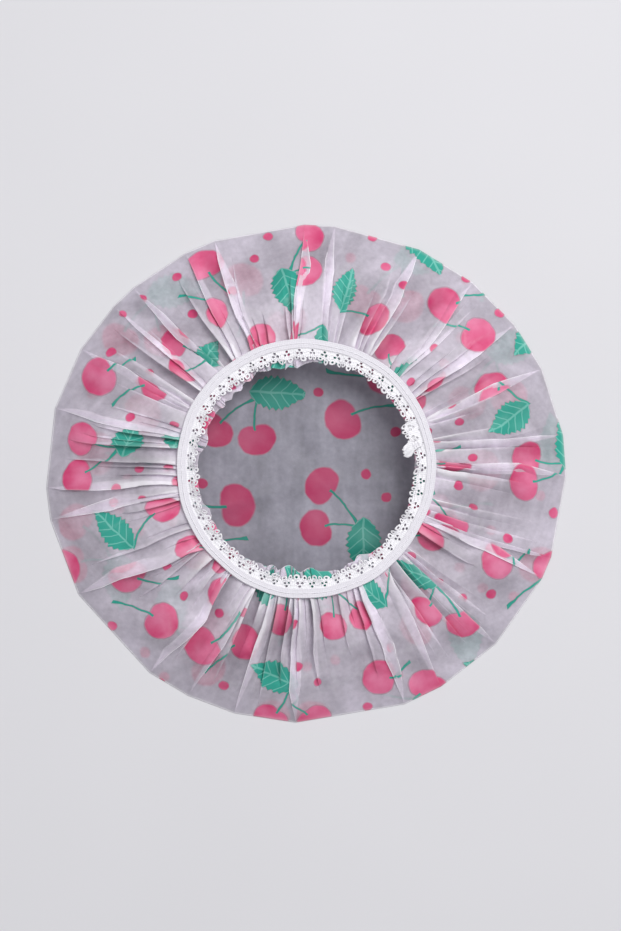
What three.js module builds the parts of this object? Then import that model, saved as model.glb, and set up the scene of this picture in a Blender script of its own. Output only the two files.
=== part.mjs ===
// A shower cap of thin film with a lace elastic round its mouth, lying crown down.
// Millimetres, +Z up out of the mouth, +X across the wider way of the cap.

import * as THREE from 'three';

// Film sheet
const CAP_WIDTH = 280; // rim to rim along X
const CAP_DEPTH = 268; // rim to rim along Y
const FILM_GAUGE = 0.15; // thickness of the film
const MOUTH_HEIGHT = 24; // floor to the top of the film under the elastic
const SKIRT_ARCH = 6; // rise of the skirt over a straight line from rim to mouth
const FOLD_DEPTH = 5; // crest to hollow of the main folds
const GATHER_DEPTH = 2.4; // crest to hollow of the gathers near the mouth
const FRILL_REACH = 3.5; // raw edge past the tips of the lace, at most
const FRILL_WAVE = 1.6; // crest to hollow of the raw edge
const FRILL_DROOP = 1; // fall of the raw edge below the seam

// Elastic ribbon: a woven web round rubber cores, with a lace edging towards the opening
const MOUTH_WIDTH = 137; // across the outer edge of the web
const MOUTH_SHIFT = 3; // mouth's centre from the cap's centre along Y
const WEB_WIDTH = 5;
const PLY = 0.35; // thickness of one woven ply
const RIB_HEIGHT = 0.15; // rib of the face ply over each core
const LIP_WIDTH = 0.5; // turned-down outer edge of the face ply
const CORE_COUNT = 4;
const CORE_WIDTH = 0.5;
const LACE_WIDTH = 7; // web to the tips of the picots
const LACE_TUCK = 1; // lace held between the plies
const LACE_REPEATS = 58;
const PICOT_DEPTH = 2; // tip of a picot to the hollow beside it
const PICOT_HOLE = 1.2; // length of a picot's hole along the radius
const EYELET_SIZE = 1.5; // across an eyelet
const EYELET_OFFSET = 2.6; // web to the middle of the eyelets

// Sewing
const THREAD_WIDTH = 0.35;
const THREAD_SIDES = 4;
const JOIN_ANGLE = 10; // degrees from +X to the join of the ribbon's ends
const TAB_WIDTH = 5; // folded end of the ribbon at the join
const TAB_REACH = 6; // past the tips of the lace
const TACK_WIDTH = 2.4; // bar of stitches that holds the folded end, across its needle holes
const TACK_LEGS = 6;
const TACK_PITCH = 0.7; // one leg to the next

// Fits
const CLEARANCE = 0.3; // between pieces that lie on each other
const CORE_FIT = 0.1; // round a core, and over and under the lace

// Corners of the rim as angles on its ellipse, degrees from +X, with a main fold at each
const CORNER_ANGLES = [
  -176.8, -169.3, -151, -126.9, -116.9, -105.9, -92.3, -67.7, -58.7, -43.1, -24.9, -19.6, -0.5,
  8.9, 24.9, 36.7, 50.1, 64.2, 83.6, 90.3, 110.6, 117.7, 131.7, 137.8, 149.9, 164.8,
];

// Facets
const COLUMNS_PER_FOLD = 4;
const SKIRT_STATIONS = [0, 0.2, 0.48, 0.8, 1]; // shares of the way from the rim to the web
const RING_STEPS = 60;
const CORE_SIDES = 4;

// Places round the mouth, as radii from its axis
const WEB_OUTER = MOUTH_WIDTH / 2;
const WEB_INNER = WEB_OUTER - WEB_WIDTH;
const SEAM_RADIUS = WEB_OUTER - WEB_WIDTH / 2;
const LACE_OUTER = WEB_INNER + LACE_TUCK;
const LACE_TIP = WEB_INNER - LACE_WIDTH;

// Heights in the ribbon, from the top of the film under it
const BACK_BOTTOM = CLEARANCE;
const BACK_TOP = BACK_BOTTOM + PLY;
const FACE_BOTTOM = BACK_TOP + CORE_WIDTH + 2 * CORE_FIT;
const FACE_TOP = FACE_BOTTOM + PLY;
const LACE_BOTTOM = BACK_TOP + CORE_FIT;
const LACE_TOP = LACE_BOTTOM + CORE_WIDTH;

const FULL_TURN = 2 * Math.PI;

// A point at an angle and a radius round the mouth's axis.
function around(angle, radius) {
  return new THREE.Vector2(radius * Math.cos(angle), radius * Math.sin(angle));
}

// Corners of the rim, moved so that their box is centred on the origin.
function rimCorners() {
  const corners = CORNER_ANGLES.map((degrees) => {
    const angle = THREE.MathUtils.degToRad(degrees);
    return new THREE.Vector2((CAP_WIDTH / 2) * Math.cos(angle), (CAP_DEPTH / 2) * Math.sin(angle));
  });
  const middle = new THREE.Box2().setFromPoints(corners).getCenter(new THREE.Vector2());
  return corners.map((corner) => corner.sub(middle));
}

// A closed skin over sections that follow each other round the axis.
// Each section is a loop that runs outwards along its underside and inwards along its top.
// Both sides split their quads along the same diagonal, so the skin keeps its thickness.
function ringLoft(sections) {
  const size = sections[0].length;
  const index = [];
  sections.forEach((section, column) => {
    const here = column * size;
    const next = ((column + 1) % sections.length) * size;
    for (let k = 0; k < size; k += 1) {
      const after = (k + 1) % size;
      if (k < size / 2) {
        index.push(here + k, next + k, next + after);
        index.push(here + k, next + after, here + after);
      } else {
        index.push(here + k, next + k, here + after);
        index.push(next + k, next + after, here + after);
      }
    }
  });
  const geometry = new THREE.BufferGeometry().setFromPoints(sections.flat());
  geometry.setIndex(index);
  geometry.computeVertexNormals();
  return geometry;
}

// The loop of a film section, from points along its top that run inwards.
function filmSection(top) {
  const drop = new THREE.Vector3(0, 0, -FILM_GAUGE);
  const under = top.map((point) => point.clone().add(drop)).reverse();
  return [...under, ...top];
}

// A profile of radius and height, revolved round +Z.
function revolved(profile) {
  const closed = [...profile, profile[0]];
  return new THREE.LatheGeometry(closed, RING_STEPS).rotateX(Math.PI / 2);
}

// A thread of even width along a path.
function threadAlong(path, steps) {
  const section = new THREE.Shape(
    Array.from({ length: THREAD_SIDES }, (_, k) => {
      return around((k * FULL_TURN) / THREAD_SIDES, THREAD_WIDTH / 2);
    }),
  );
  return new THREE.ExtrudeGeometry(section, { steps, extrudePath: path, bevelEnabled: false });
}

// A row of stitches round the mouth that stops short of a full turn at the join.
class StitchRow extends THREE.Curve {
  constructor(radius, height) {
    super();
    this.radius = radius;
    this.height = height;
    this.start = THREE.MathUtils.degToRad(JOIN_ANGLE) + THREAD_WIDTH / radius;
    this.span = FULL_TURN - (2 * THREAD_WIDTH) / radius;
  }

  getPoint(share, target = new THREE.Vector3()) {
    const place = around(this.start + share * this.span, this.radius);
    return target.set(place.x, place.y, this.height);
  }
}

// The flat bottom of the cap, inside the crease of the rim.
function crownFilm() {
  const shape = new THREE.Shape(rimCorners());
  return new THREE.ExtrudeGeometry(shape, { depth: FILM_GAUGE, bevelEnabled: false });
}

// Where each column of the skirt starts on the rim, and how it folds: crests at the corners.
function skirtColumns() {
  const corners = rimCorners();
  const chords = corners.map((corner, k) => corner.distanceTo(corners[(k + 1) % corners.length]));
  const meanChord = chords.reduce((sum, chord) => sum + chord, 0) / chords.length;
  return corners.flatMap((corner, k) => {
    const next = corners[(k + 1) % corners.length];
    const hollow = Math.min(1, chords[k] / meanChord);
    return Array.from({ length: COLUMNS_PER_FOLD }, (_, step) => {
      const along = step / COLUMNS_PER_FOLD;
      const wave = Math.cos(FULL_TURN * along);
      const fold = wave < 0 ? wave * hollow : wave;
      return { rim: corner.clone().lerp(next, along), fold, gather: Math.cos(2 * FULL_TURN * along) };
    });
  });
}

// The upper layer: it rises from the rim, arches and gathers in under the elastic.
function skirtFilm() {
  const axis = new THREE.Vector2(0, MOUTH_SHIFT);
  const rimTop = 2 * FILM_GAUGE + CLEARANCE;
  const sections = skirtColumns().map(({ rim, fold, gather }) => {
    const outwards = rim.clone().sub(axis);
    const direction = outwards.clone().normalize();
    const at = (radius, height) => {
      const place = axis.clone().addScaledVector(direction, radius);
      return new THREE.Vector3(place.x, place.y, height);
    };
    const top = SKIRT_STATIONS.map((share) => {
      const radius = THREE.MathUtils.lerp(outwards.length(), WEB_OUTER, share);
      const straight = THREE.MathUtils.lerp(rimTop, MOUTH_HEIGHT, share);
      const arch = SKIRT_ARCH * Math.sin(Math.PI * share);
      const folds = (FOLD_DEPTH / 2) * fold * Math.sin(Math.PI * share);
      const gathers = (GATHER_DEPTH / 2) * gather * Math.sin(Math.PI * share * share);
      return at(radius, straight + arch + folds + gathers);
    });
    top.push(at(SEAM_RADIUS + CLEARANCE / 2, MOUTH_HEIGHT));
    return filmSection(top);
  });
  return ringLoft(sections);
}

// The raw edge of the film past the seam, which stands out in waves under the lace.
function hemFrill() {
  const count = CORNER_ANGLES.length * COLUMNS_PER_FOLD;
  const sections = Array.from({ length: count }, (_, column) => {
    const angle = (column / count) * FULL_TURN;
    const reach = FRILL_REACH * (0.5 + 0.5 * Math.cos(5 * angle));
    const wave = (FRILL_WAVE / 2) * (column % 2 === 0 ? 1 : -1);
    const at = (radius, height) => {
      const place = around(angle, radius);
      return new THREE.Vector3(place.x, place.y, height);
    };
    return filmSection([
      at(SEAM_RADIUS - CLEARANCE / 2, 0),
      at(WEB_INNER, 0),
      at(LACE_TIP - reach, wave - FRILL_DROOP),
    ]);
  });
  return ringLoft(sections);
}

// The ply of the web that lies on the film.
function elasticBack() {
  return revolved([
    new THREE.Vector2(WEB_INNER, BACK_BOTTOM),
    new THREE.Vector2(WEB_OUTER, BACK_BOTTOM),
    new THREE.Vector2(WEB_OUTER, BACK_TOP),
    new THREE.Vector2(WEB_INNER, BACK_TOP),
  ]);
}

// Radii of the rubber cores, spread between the lace and the turned-down edge.
function coreRadii() {
  const pitch = (WEB_OUTER - LIP_WIDTH - LACE_OUTER) / CORE_COUNT;
  return Array.from({ length: CORE_COUNT }, (_, k) => LACE_OUTER + (k + 0.5) * pitch);
}

// The ply that shows: a rib over each core, and its outer edge turned down to the back ply.
function elasticFace() {
  const radii = coreRadii();
  const halfPitch = (radii[1] - radii[0]) / 2;
  const ribs = [...radii].reverse().flatMap((radius) => [
    new THREE.Vector2(radius + halfPitch, FACE_TOP),
    new THREE.Vector2(radius, FACE_TOP + RIB_HEIGHT),
  ]);
  return revolved([
    new THREE.Vector2(WEB_INNER, FACE_BOTTOM),
    new THREE.Vector2(WEB_OUTER - LIP_WIDTH, FACE_BOTTOM),
    new THREE.Vector2(WEB_OUTER - LIP_WIDTH, BACK_TOP + CLEARANCE),
    new THREE.Vector2(WEB_OUTER, BACK_TOP + CLEARANCE),
    new THREE.Vector2(WEB_OUTER, FACE_TOP),
    ...ribs,
    new THREE.Vector2(LACE_OUTER, FACE_TOP),
    new THREE.Vector2(WEB_INNER, FACE_TOP),
  ]);
}

// One rubber core, closed by the join of the ribbon.
function rubberCore(radius) {
  const height = BACK_TOP + CORE_FIT + CORE_WIDTH / 2;
  return new THREE.TorusGeometry(radius, CORE_WIDTH / 2, CORE_SIDES, RING_STEPS).translate(0, 0, height);
}

// The scalloped inner outline of the lace: two picots to a repeat.
function picotOutline(pitch) {
  const picots = 2 * LACE_REPEATS;
  return Array.from({ length: picots }, (_, k) => {
    const middle = (k + 0.5) * pitch;
    return [
      around(middle - pitch / 2, LACE_TIP + PICOT_DEPTH),
      around(middle - pitch / 3, LACE_TIP + PICOT_DEPTH / 2.5),
      around(middle, LACE_TIP),
      around(middle + pitch / 3, LACE_TIP + PICOT_DEPTH / 2.5),
    ];
  }).flat();
}

// The hole of one picot, a lozenge near its tip.
function picotHole(middle, pitch) {
  const radius = LACE_TIP + PICOT_DEPTH / 2 + PICOT_HOLE / 2;
  return [
    around(middle, radius - PICOT_HOLE / 2),
    around(middle + pitch / 6, radius),
    around(middle, radius + PICOT_HOLE / 2),
    around(middle - pitch / 6, radius),
  ];
}

// One eyelet of the row beside the web, a triangle that points to the opening.
function eyelet(middle) {
  const radius = WEB_INNER - EYELET_OFFSET;
  const half = EYELET_SIZE / 2;
  return [
    around(middle, radius - half),
    around(middle + half / radius, radius + half),
    around(middle - half / radius, radius + half),
  ];
}

// The lace edging: a flat open net from between the plies to the picots round the opening.
function laceEdging() {
  const pitch = FULL_TURN / (2 * LACE_REPEATS);
  const outer = Array.from({ length: 2 * LACE_REPEATS }, (_, k) => around(k * pitch, LACE_OUTER - CORE_FIT));
  const shape = new THREE.Shape(outer);
  shape.holes.push(new THREE.Path(picotOutline(pitch)));
  for (let k = 0; k < LACE_REPEATS; k += 1) {
    const first = (2 * k + 0.5) * pitch;
    shape.holes.push(new THREE.Path(picotHole(first, pitch)));
    shape.holes.push(new THREE.Path(picotHole(first + pitch, pitch)));
    shape.holes.push(new THREE.Path(eyelet(first + pitch / 2)));
  }
  const depth = LACE_TOP - LACE_BOTTOM;
  return new THREE.ExtrudeGeometry(shape, { depth, bevelEnabled: false }).translate(0, 0, LACE_BOTTOM);
}

// The folded end of the ribbon, drawn on +X: it lies on the lace and points into the opening.
function endTab() {
  const root = WEB_INNER - CLEARANCE;
  const tip = LACE_TIP - TAB_REACH;
  const half = TAB_WIDTH / 2;
  const shape = new THREE.Shape();
  shape.moveTo(root, -half);
  shape.lineTo(root, half);
  shape.lineTo(tip + half, half);
  shape.absarc(tip + half, 0, half, Math.PI / 2, 1.5 * Math.PI, false);
  const base = LACE_TOP + CLEARANCE;
  return new THREE.ExtrudeGeometry(shape, { depth: PLY, bevelEnabled: false, curveSegments: 8 }).translate(0, 0, base);
}

// A bar of close stitches across the folded end, drawn on +X as one flat zigzag.
function barTack() {
  const start = WEB_INNER - LACE_WIDTH / 2 - (TACK_LEGS * TACK_PITCH) / 2;
  const halfAcross = ((THREAD_WIDTH / 2) * Math.hypot(TACK_PITCH, TACK_WIDTH)) / TACK_PITCH;
  const corner = (k, offset) => {
    const side = k % 2 === 0 ? -1 : 1;
    return new THREE.Vector2(start + k * TACK_PITCH, (side * TACK_WIDTH) / 2 + offset);
  };
  const corners = Array.from({ length: TACK_LEGS + 1 }, (_, k) => k);
  const shape = new THREE.Shape([
    ...corners.map((k) => corner(k, -halfAcross)),
    ...corners.reverse().map((k) => corner(k, halfAcross)),
  ]);
  const base = LACE_TOP + CLEARANCE + PLY + CLEARANCE;
  return new THREE.ExtrudeGeometry(shape, { depth: THREAD_WIDTH, bevelEnabled: false }).translate(0, 0, base);
}

// A named mesh with a material of its own.
function piece(name, geometry, color, roughness) {
  const material = new THREE.MeshStandardMaterial({ color, roughness, metalness: 0 });
  const mesh = new THREE.Mesh(geometry, material);
  mesh.name = name;
  return mesh;
}

const FILM_COLOR = 0xd6d4dc;
const WEB_COLOR = 0xf2f0f4;
const LACE_COLOR = 0xf6f4f8;
const CORE_COLOR = 0xe8e0cc;
const THREAD_COLOR = 0xfafafa;

// The ends of the ribbon where they meet, turned to the join.
function ribbonJoin() {
  const join = new THREE.Group();
  join.rotation.z = THREE.MathUtils.degToRad(JOIN_ANGLE);
  join.add(piece('end_tab', endTab(), LACE_COLOR, 0.8));
  join.add(piece('bar_tack', barTack(), THREAD_COLOR, 0.7));
  return join;
}

// Everything that goes with the mouth, placed on the film at the seam.
function mouth() {
  const group = new THREE.Group();
  group.position.set(0, MOUTH_SHIFT, MOUTH_HEIGHT);
  const needleHeight = FACE_TOP + RIB_HEIGHT + CLEARANCE + THREAD_WIDTH / 2;
  const bobbinHeight = -FILM_GAUGE - CLEARANCE - THREAD_WIDTH / 2;
  const needleRow = new StitchRow(SEAM_RADIUS, needleHeight);
  const bobbinRow = new StitchRow(SEAM_RADIUS, bobbinHeight);
  group.add(piece('hem_frill', hemFrill(), FILM_COLOR, 0.35));
  group.add(piece('elastic_back', elasticBack(), WEB_COLOR, 0.8));
  group.add(piece('elastic_face', elasticFace(), WEB_COLOR, 0.8));
  coreRadii().forEach((radius, k) => {
    group.add(piece(`rubber_core_${k + 1}`, rubberCore(radius), CORE_COLOR, 0.6));
  });
  group.add(piece('lace_edging', laceEdging(), LACE_COLOR, 0.8));
  group.add(piece('needle_thread', threadAlong(needleRow, RING_STEPS), THREAD_COLOR, 0.7));
  group.add(piece('bobbin_thread', threadAlong(bobbinRow, RING_STEPS), THREAD_COLOR, 0.7));
  group.add(ribbonJoin());
  return group;
}

const showerCap = new THREE.Group();
showerCap.add(piece('crown_film', crownFilm(), FILM_COLOR, 0.35));
showerCap.add(piece('skirt_film', skirtFilm(), FILM_COLOR, 0.35));
showerCap.add(mouth());

export default showerCap;
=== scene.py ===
"""A gathered shower cap of printed film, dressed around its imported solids.

The film is one round sheet. It lies flat as the crown, turns over at the rim, is pleated in as
the skirt and ends in a raw frill under the lace elastic. Sizes are in millimetres until a mesh
is made, and meshes are in metres.
"""

from __future__ import annotations

import logging
import math
from dataclasses import dataclass, field
from enum import Enum
from typing import Any

import bpy
import numpy as np
from bpy.types import Material, Mesh, Node, NodeSocket, NodeTree, Object, World
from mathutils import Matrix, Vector
from mathutils.geometry import delaunay_2d_cdt

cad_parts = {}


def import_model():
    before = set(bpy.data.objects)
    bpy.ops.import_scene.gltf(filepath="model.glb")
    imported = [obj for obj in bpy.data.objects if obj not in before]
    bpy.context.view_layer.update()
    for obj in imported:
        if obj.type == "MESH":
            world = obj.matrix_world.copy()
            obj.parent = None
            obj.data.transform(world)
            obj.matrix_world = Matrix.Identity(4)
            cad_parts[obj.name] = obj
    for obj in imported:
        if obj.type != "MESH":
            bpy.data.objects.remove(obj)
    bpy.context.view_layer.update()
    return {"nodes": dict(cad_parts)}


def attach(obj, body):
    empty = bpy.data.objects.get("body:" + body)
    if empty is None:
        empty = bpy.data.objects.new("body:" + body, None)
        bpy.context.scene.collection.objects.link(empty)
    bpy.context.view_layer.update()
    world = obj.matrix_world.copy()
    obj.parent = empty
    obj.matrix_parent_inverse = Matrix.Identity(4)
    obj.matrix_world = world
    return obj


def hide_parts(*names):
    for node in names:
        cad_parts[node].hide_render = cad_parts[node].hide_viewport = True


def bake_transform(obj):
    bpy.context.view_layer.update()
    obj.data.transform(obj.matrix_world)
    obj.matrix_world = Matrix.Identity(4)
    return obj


Array = np.ndarray
Pair = tuple[float, float]
# Values by place, rows such as a wave's height, number and phase, and the points and faces of a mesh.
Table = tuple[Pair, ...]
Triples = tuple[tuple[float, float, float], ...]
Skin = tuple[Array, list[list[int]]]

LOG = logging.getLogger("shower_cap")
TAU = 2 * math.pi
MM = 0.001
TINY = 1e-9
PHOTO_SIZE = (621, 931)
# A Mix node for colours takes them at inputs 6 and 7 and gives the result at output 2.
COLOURS = {"data_type": "RGBA", "out": 2}
# Most of a noise lies between these values.
NOISE_SPAN = (0.3, 0.7)
# Points round one pleat: five on the fold, of which the first and last are creased, and four beside it.
PLEAT_POINTS = 9
PLEAT_CREASES = (0, 4)
# The rim's corners in degrees from +X on its ellipse, read off the photo. A main pleat starts at each.
RIM_CORNERS = (
    -176.8, -169.3, -151.0, -126.9, -116.9, -105.9, -92.3, -67.7, -58.7, -43.1, -24.9, -19.6, -0.5,
    8.9, 24.9, 36.7, 50.1, 64.2, 83.6, 90.3, 110.6, 117.7, 131.7, 137.8, 149.9, 164.8,
)


class Lean(Enum):
    """The side that a pleat lies over to."""

    LEFT = -1.0
    RIGHT = 1.0


class Edge(Enum):
    """The side of the ribbon that stitches show on, with the heights of their ends and middles."""

    ABOVE = (25.72, 25.98)
    BELOW = (23.3, 22.95)


class Ink(Enum):
    """The inks of the print, by the part of a drawing that they fill."""

    FRUIT = "Fruit"
    LIGHT = "Light"
    GREEN = "Green"
    VEIN = "Vein"


class Drawing(Enum):
    """The drawings of the print, with the inks of each."""

    CHERRY = (Ink.FRUIT, Ink.LIGHT, Ink.GREEN)
    LEAF = (Ink.GREEN, Ink.VEIN)
    DOT = (Ink.FRUIT,)


class Square(Enum):
    """The kinds of square in the print's repeat."""

    PAIR = "two cherries on a leaf"
    SPRIG = "one cherry on a leaf"
    TWIN = "two loose cherries"


@dataclass(frozen=True)
class Motif:
    """One drawing in a kind of square, in millimetres from the square's middle."""

    drawing: Drawing
    square: Square
    at: Pair
    turn: float = 0.0
    size: float = 1.0


PRINT = (
    Motif(Drawing.CHERRY, Square.PAIR, (-8.5, -12.0), -14.0, 0.92),
    Motif(Drawing.CHERRY, Square.PAIR, (11.5, -8.0), 34.0, 0.92),
    Motif(Drawing.LEAF, Square.PAIR, (-1.0, 11.5), -71.0, 1.08),
    Motif(Drawing.DOT, Square.PAIR, (-20.0, 6.0)),
    Motif(Drawing.DOT, Square.PAIR, (-13.0, 18.5)),
    Motif(Drawing.CHERRY, Square.SPRIG, (11.0, -9.0), 14.0, 1.04),
    Motif(Drawing.LEAF, Square.SPRIG, (11.0, 17.5), 100.0, 1.0),
    Motif(Drawing.DOT, Square.SPRIG, (-13.0, -14.0)),
    Motif(Drawing.DOT, Square.SPRIG, (-20.0, -2.0)),
    Motif(Drawing.CHERRY, Square.TWIN, (-11.0, 10.0), -150.0, 1.0),
    Motif(Drawing.CHERRY, Square.TWIN, (11.5, -9.0), 12.0, 1.04),
    Motif(Drawing.DOT, Square.TWIN, (-16.0, -15.0)),
    Motif(Drawing.DOT, Square.TWIN, (2.0, 21.0)),
    Motif(Drawing.DOT, Square.TWIN, (20.5, 8.0)),
)


def linear(colour: str) -> tuple[float, float, float, float]:
    """Turns an sRGB hex colour to linear.

    Args:
        colour: Six hex digits, such as "f5f3f8".

    Returns:
        Linear red, green, blue and an alpha of 1.
    """
    parts = [int(colour[k:k + 2], 16) / 255 for k in (0, 2, 4)]
    red, green, blue = [c / 12.92 if c <= 0.04045 else ((c + 0.055) / 1.055) ** 2.4 for c in parts]
    return red, green, blue, 1.0


def add(tree: NodeTree, kind: str, *feeds: Any, out: Any = 0,
        named: dict[Any, Any] | None = None, **settings: Any) -> NodeSocket:
    """Adds a node with its settings and links.

    Args:
        tree: The material's or group's node tree.
        kind: The node's type, without the ShaderNode in front, and its operation if it has one.
        feeds: Sockets or values for the inputs in order, None to leave one as it is.
        out: The output to return, by number or name.
        named: Further inputs by number or name.
        settings: The node's own properties.

    Returns:
        The chosen output socket.
    """
    kind, _, operation = kind.partition(".")
    node = tree.nodes.new("ShaderNode" + kind)
    if operation:
        node.operation = operation
    for key, value in settings.items():
        setattr(node, key, value)
    inputs = dict(enumerate(feeds))
    inputs.update(named or {})
    for key, value in inputs.items():
        if isinstance(value, NodeSocket):
            tree.links.new(value, node.inputs[key])
        elif value is not None:
            node.inputs[key].default_value = value
    return node.outputs[out] if len(node.outputs) else None


def empty_tree(owner: Material | World) -> NodeTree:
    """Gives a material or world nodes of its own.

    Args:
        owner: The new material or world.

    Returns:
        Its node tree, with nothing in it.
    """
    owner.use_nodes = True
    owner.node_tree.nodes.clear()
    return owner.node_tree


def seen_rays(tree: NodeTree) -> NodeSocket:
    """Tells the rays that show a background from those that light the cap.

    Args:
        tree: A material's or world's node tree.

    Returns:
        1 for rays from the camera, reflections and refractions, and 0 for the others.
    """
    seen = add(tree, "LightPath", out="Is Camera Ray")
    for ray_kind in ("Is Glossy Ray", "Is Transmission Ray"):
        seen = add(tree, "Math.MAXIMUM", seen, add(tree, "LightPath", out=ray_kind))
    return seen


def ray(angle: Array) -> Array:
    """Gives the unit vectors at angles round the cap."""
    return np.stack([np.cos(angle), np.sin(angle)], -1)


def apart(angle: Array, other: Any) -> Array:
    """Gives how far apart angles are, the short way round."""
    return np.abs((angle - other + math.pi) % TAU - math.pi)


def between(table: Table, place: Array) -> Array:
    """Reads values at places between the points of a table."""
    return np.interp(place, *zip(*table))


def waves(angle: Array, parts: Triples) -> Array:
    """Adds up waves round the cap, each given as its height, its number and its phase."""
    return sum(height * np.sin(number * angle + phase) for height, number, phase in parts)


def along(spots: Array, way: float) -> Array:
    """Gives how far points lie along a direction seen from above."""
    return spots[..., 0] * math.cos(way) + spots[..., 1] * math.sin(way)


def following(values: Array, wrap: float) -> Array:
    """Gives the next pleat's values.

    Args:
        values: A value for each pleat, a row per ring.
        wrap: What is added past the last pleat.

    Returns:
        The values moved on by one pleat.
    """
    rolled = np.roll(values, -1, 1)
    rolled[:, -1] += wrap
    return rolled


def new_piece(name: str, skin: Skin, material: Material) -> Object:
    """Makes a smooth mesh object from points in millimetres.

    Args:
        name: The piece's name.
        skin: Its points, one row each, and its faces as lists of point numbers.
        material: Its finish.

    Returns:
        The new object, linked to the scene.
    """
    mesh = bpy.data.meshes.new(name)
    points, faces = skin
    mesh.from_pydata((points * MM).tolist(), [], faces)
    mesh.update()
    mesh.shade_smooth()
    mesh.materials.append(material)
    piece = bpy.data.objects.new(name, mesh)
    bpy.context.scene.collection.objects.link(piece)
    LOG.info("%s: %d points, %d faces", name, len(mesh.vertices), len(mesh.polygons))
    return piece


def join(parts: list[Skin]) -> Skin:
    """Joins the parts of a piece.

    Args:
        parts: The points and faces of each.

    Returns:
        All their points and faces.
    """
    faces, base = [], 0
    for points, more in parts:
        faces += [[base + k for k in face] for face in more]
        base += len(points)
    return np.concatenate([points for points, _ in parts]), faces


def loops_to_faces(count: int, size: int, closed: bool) -> list[list[int]]:
    """Gives the quads of a skin over loops of points.

    Args:
        count: How many loops there are.
        size: How many points each loop has.
        closed: Whether the last loop joins the first.

    Returns:
        Quads as lists of point numbers.
    """
    faces = []
    for row in range(count if closed else count - 1):
        here, after = row * size, (row + 1) % count * size
        for k in range(size):
            step = (k + 1) % size
            faces.append([here + k, after + k, after + step, here + step])
    return faces


def thread_tube(path: Array, radius: float, sides: int, closed: bool) -> Skin:
    """Runs a round thread along a path.

    Args:
        path: The points of its middle line.
        radius: Half the thread's thickness.
        sides: How many sides its section has.
        closed: Whether the path closes on itself.

    Returns:
        The thread's points and faces.
    """
    if closed:
        ahead = np.roll(path, -1, 0) - np.roll(path, 1, 0)
    else:
        ahead = np.gradient(path, axis=0)
    ahead /= np.linalg.norm(ahead, axis=1, keepdims=True)
    across = np.cross([0.0, 0.0, 1.0], ahead)
    across /= np.linalg.norm(across, axis=1, keepdims=True) + TINY
    over = np.cross(ahead, across)
    turn = np.arange(sides) * TAU / sides
    ring = across[:, None] * np.cos(turn)[:, None] + over[:, None] * np.sin(turn)[:, None]
    points = (path[:, None] + radius * ring).reshape(-1, 3)
    faces = loops_to_faces(len(path), sides, closed)
    if not closed:
        faces.append(list(range(sides))[::-1])
        faces.append([len(points) - sides + k for k in range(sides)])
    return points, faces


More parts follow.
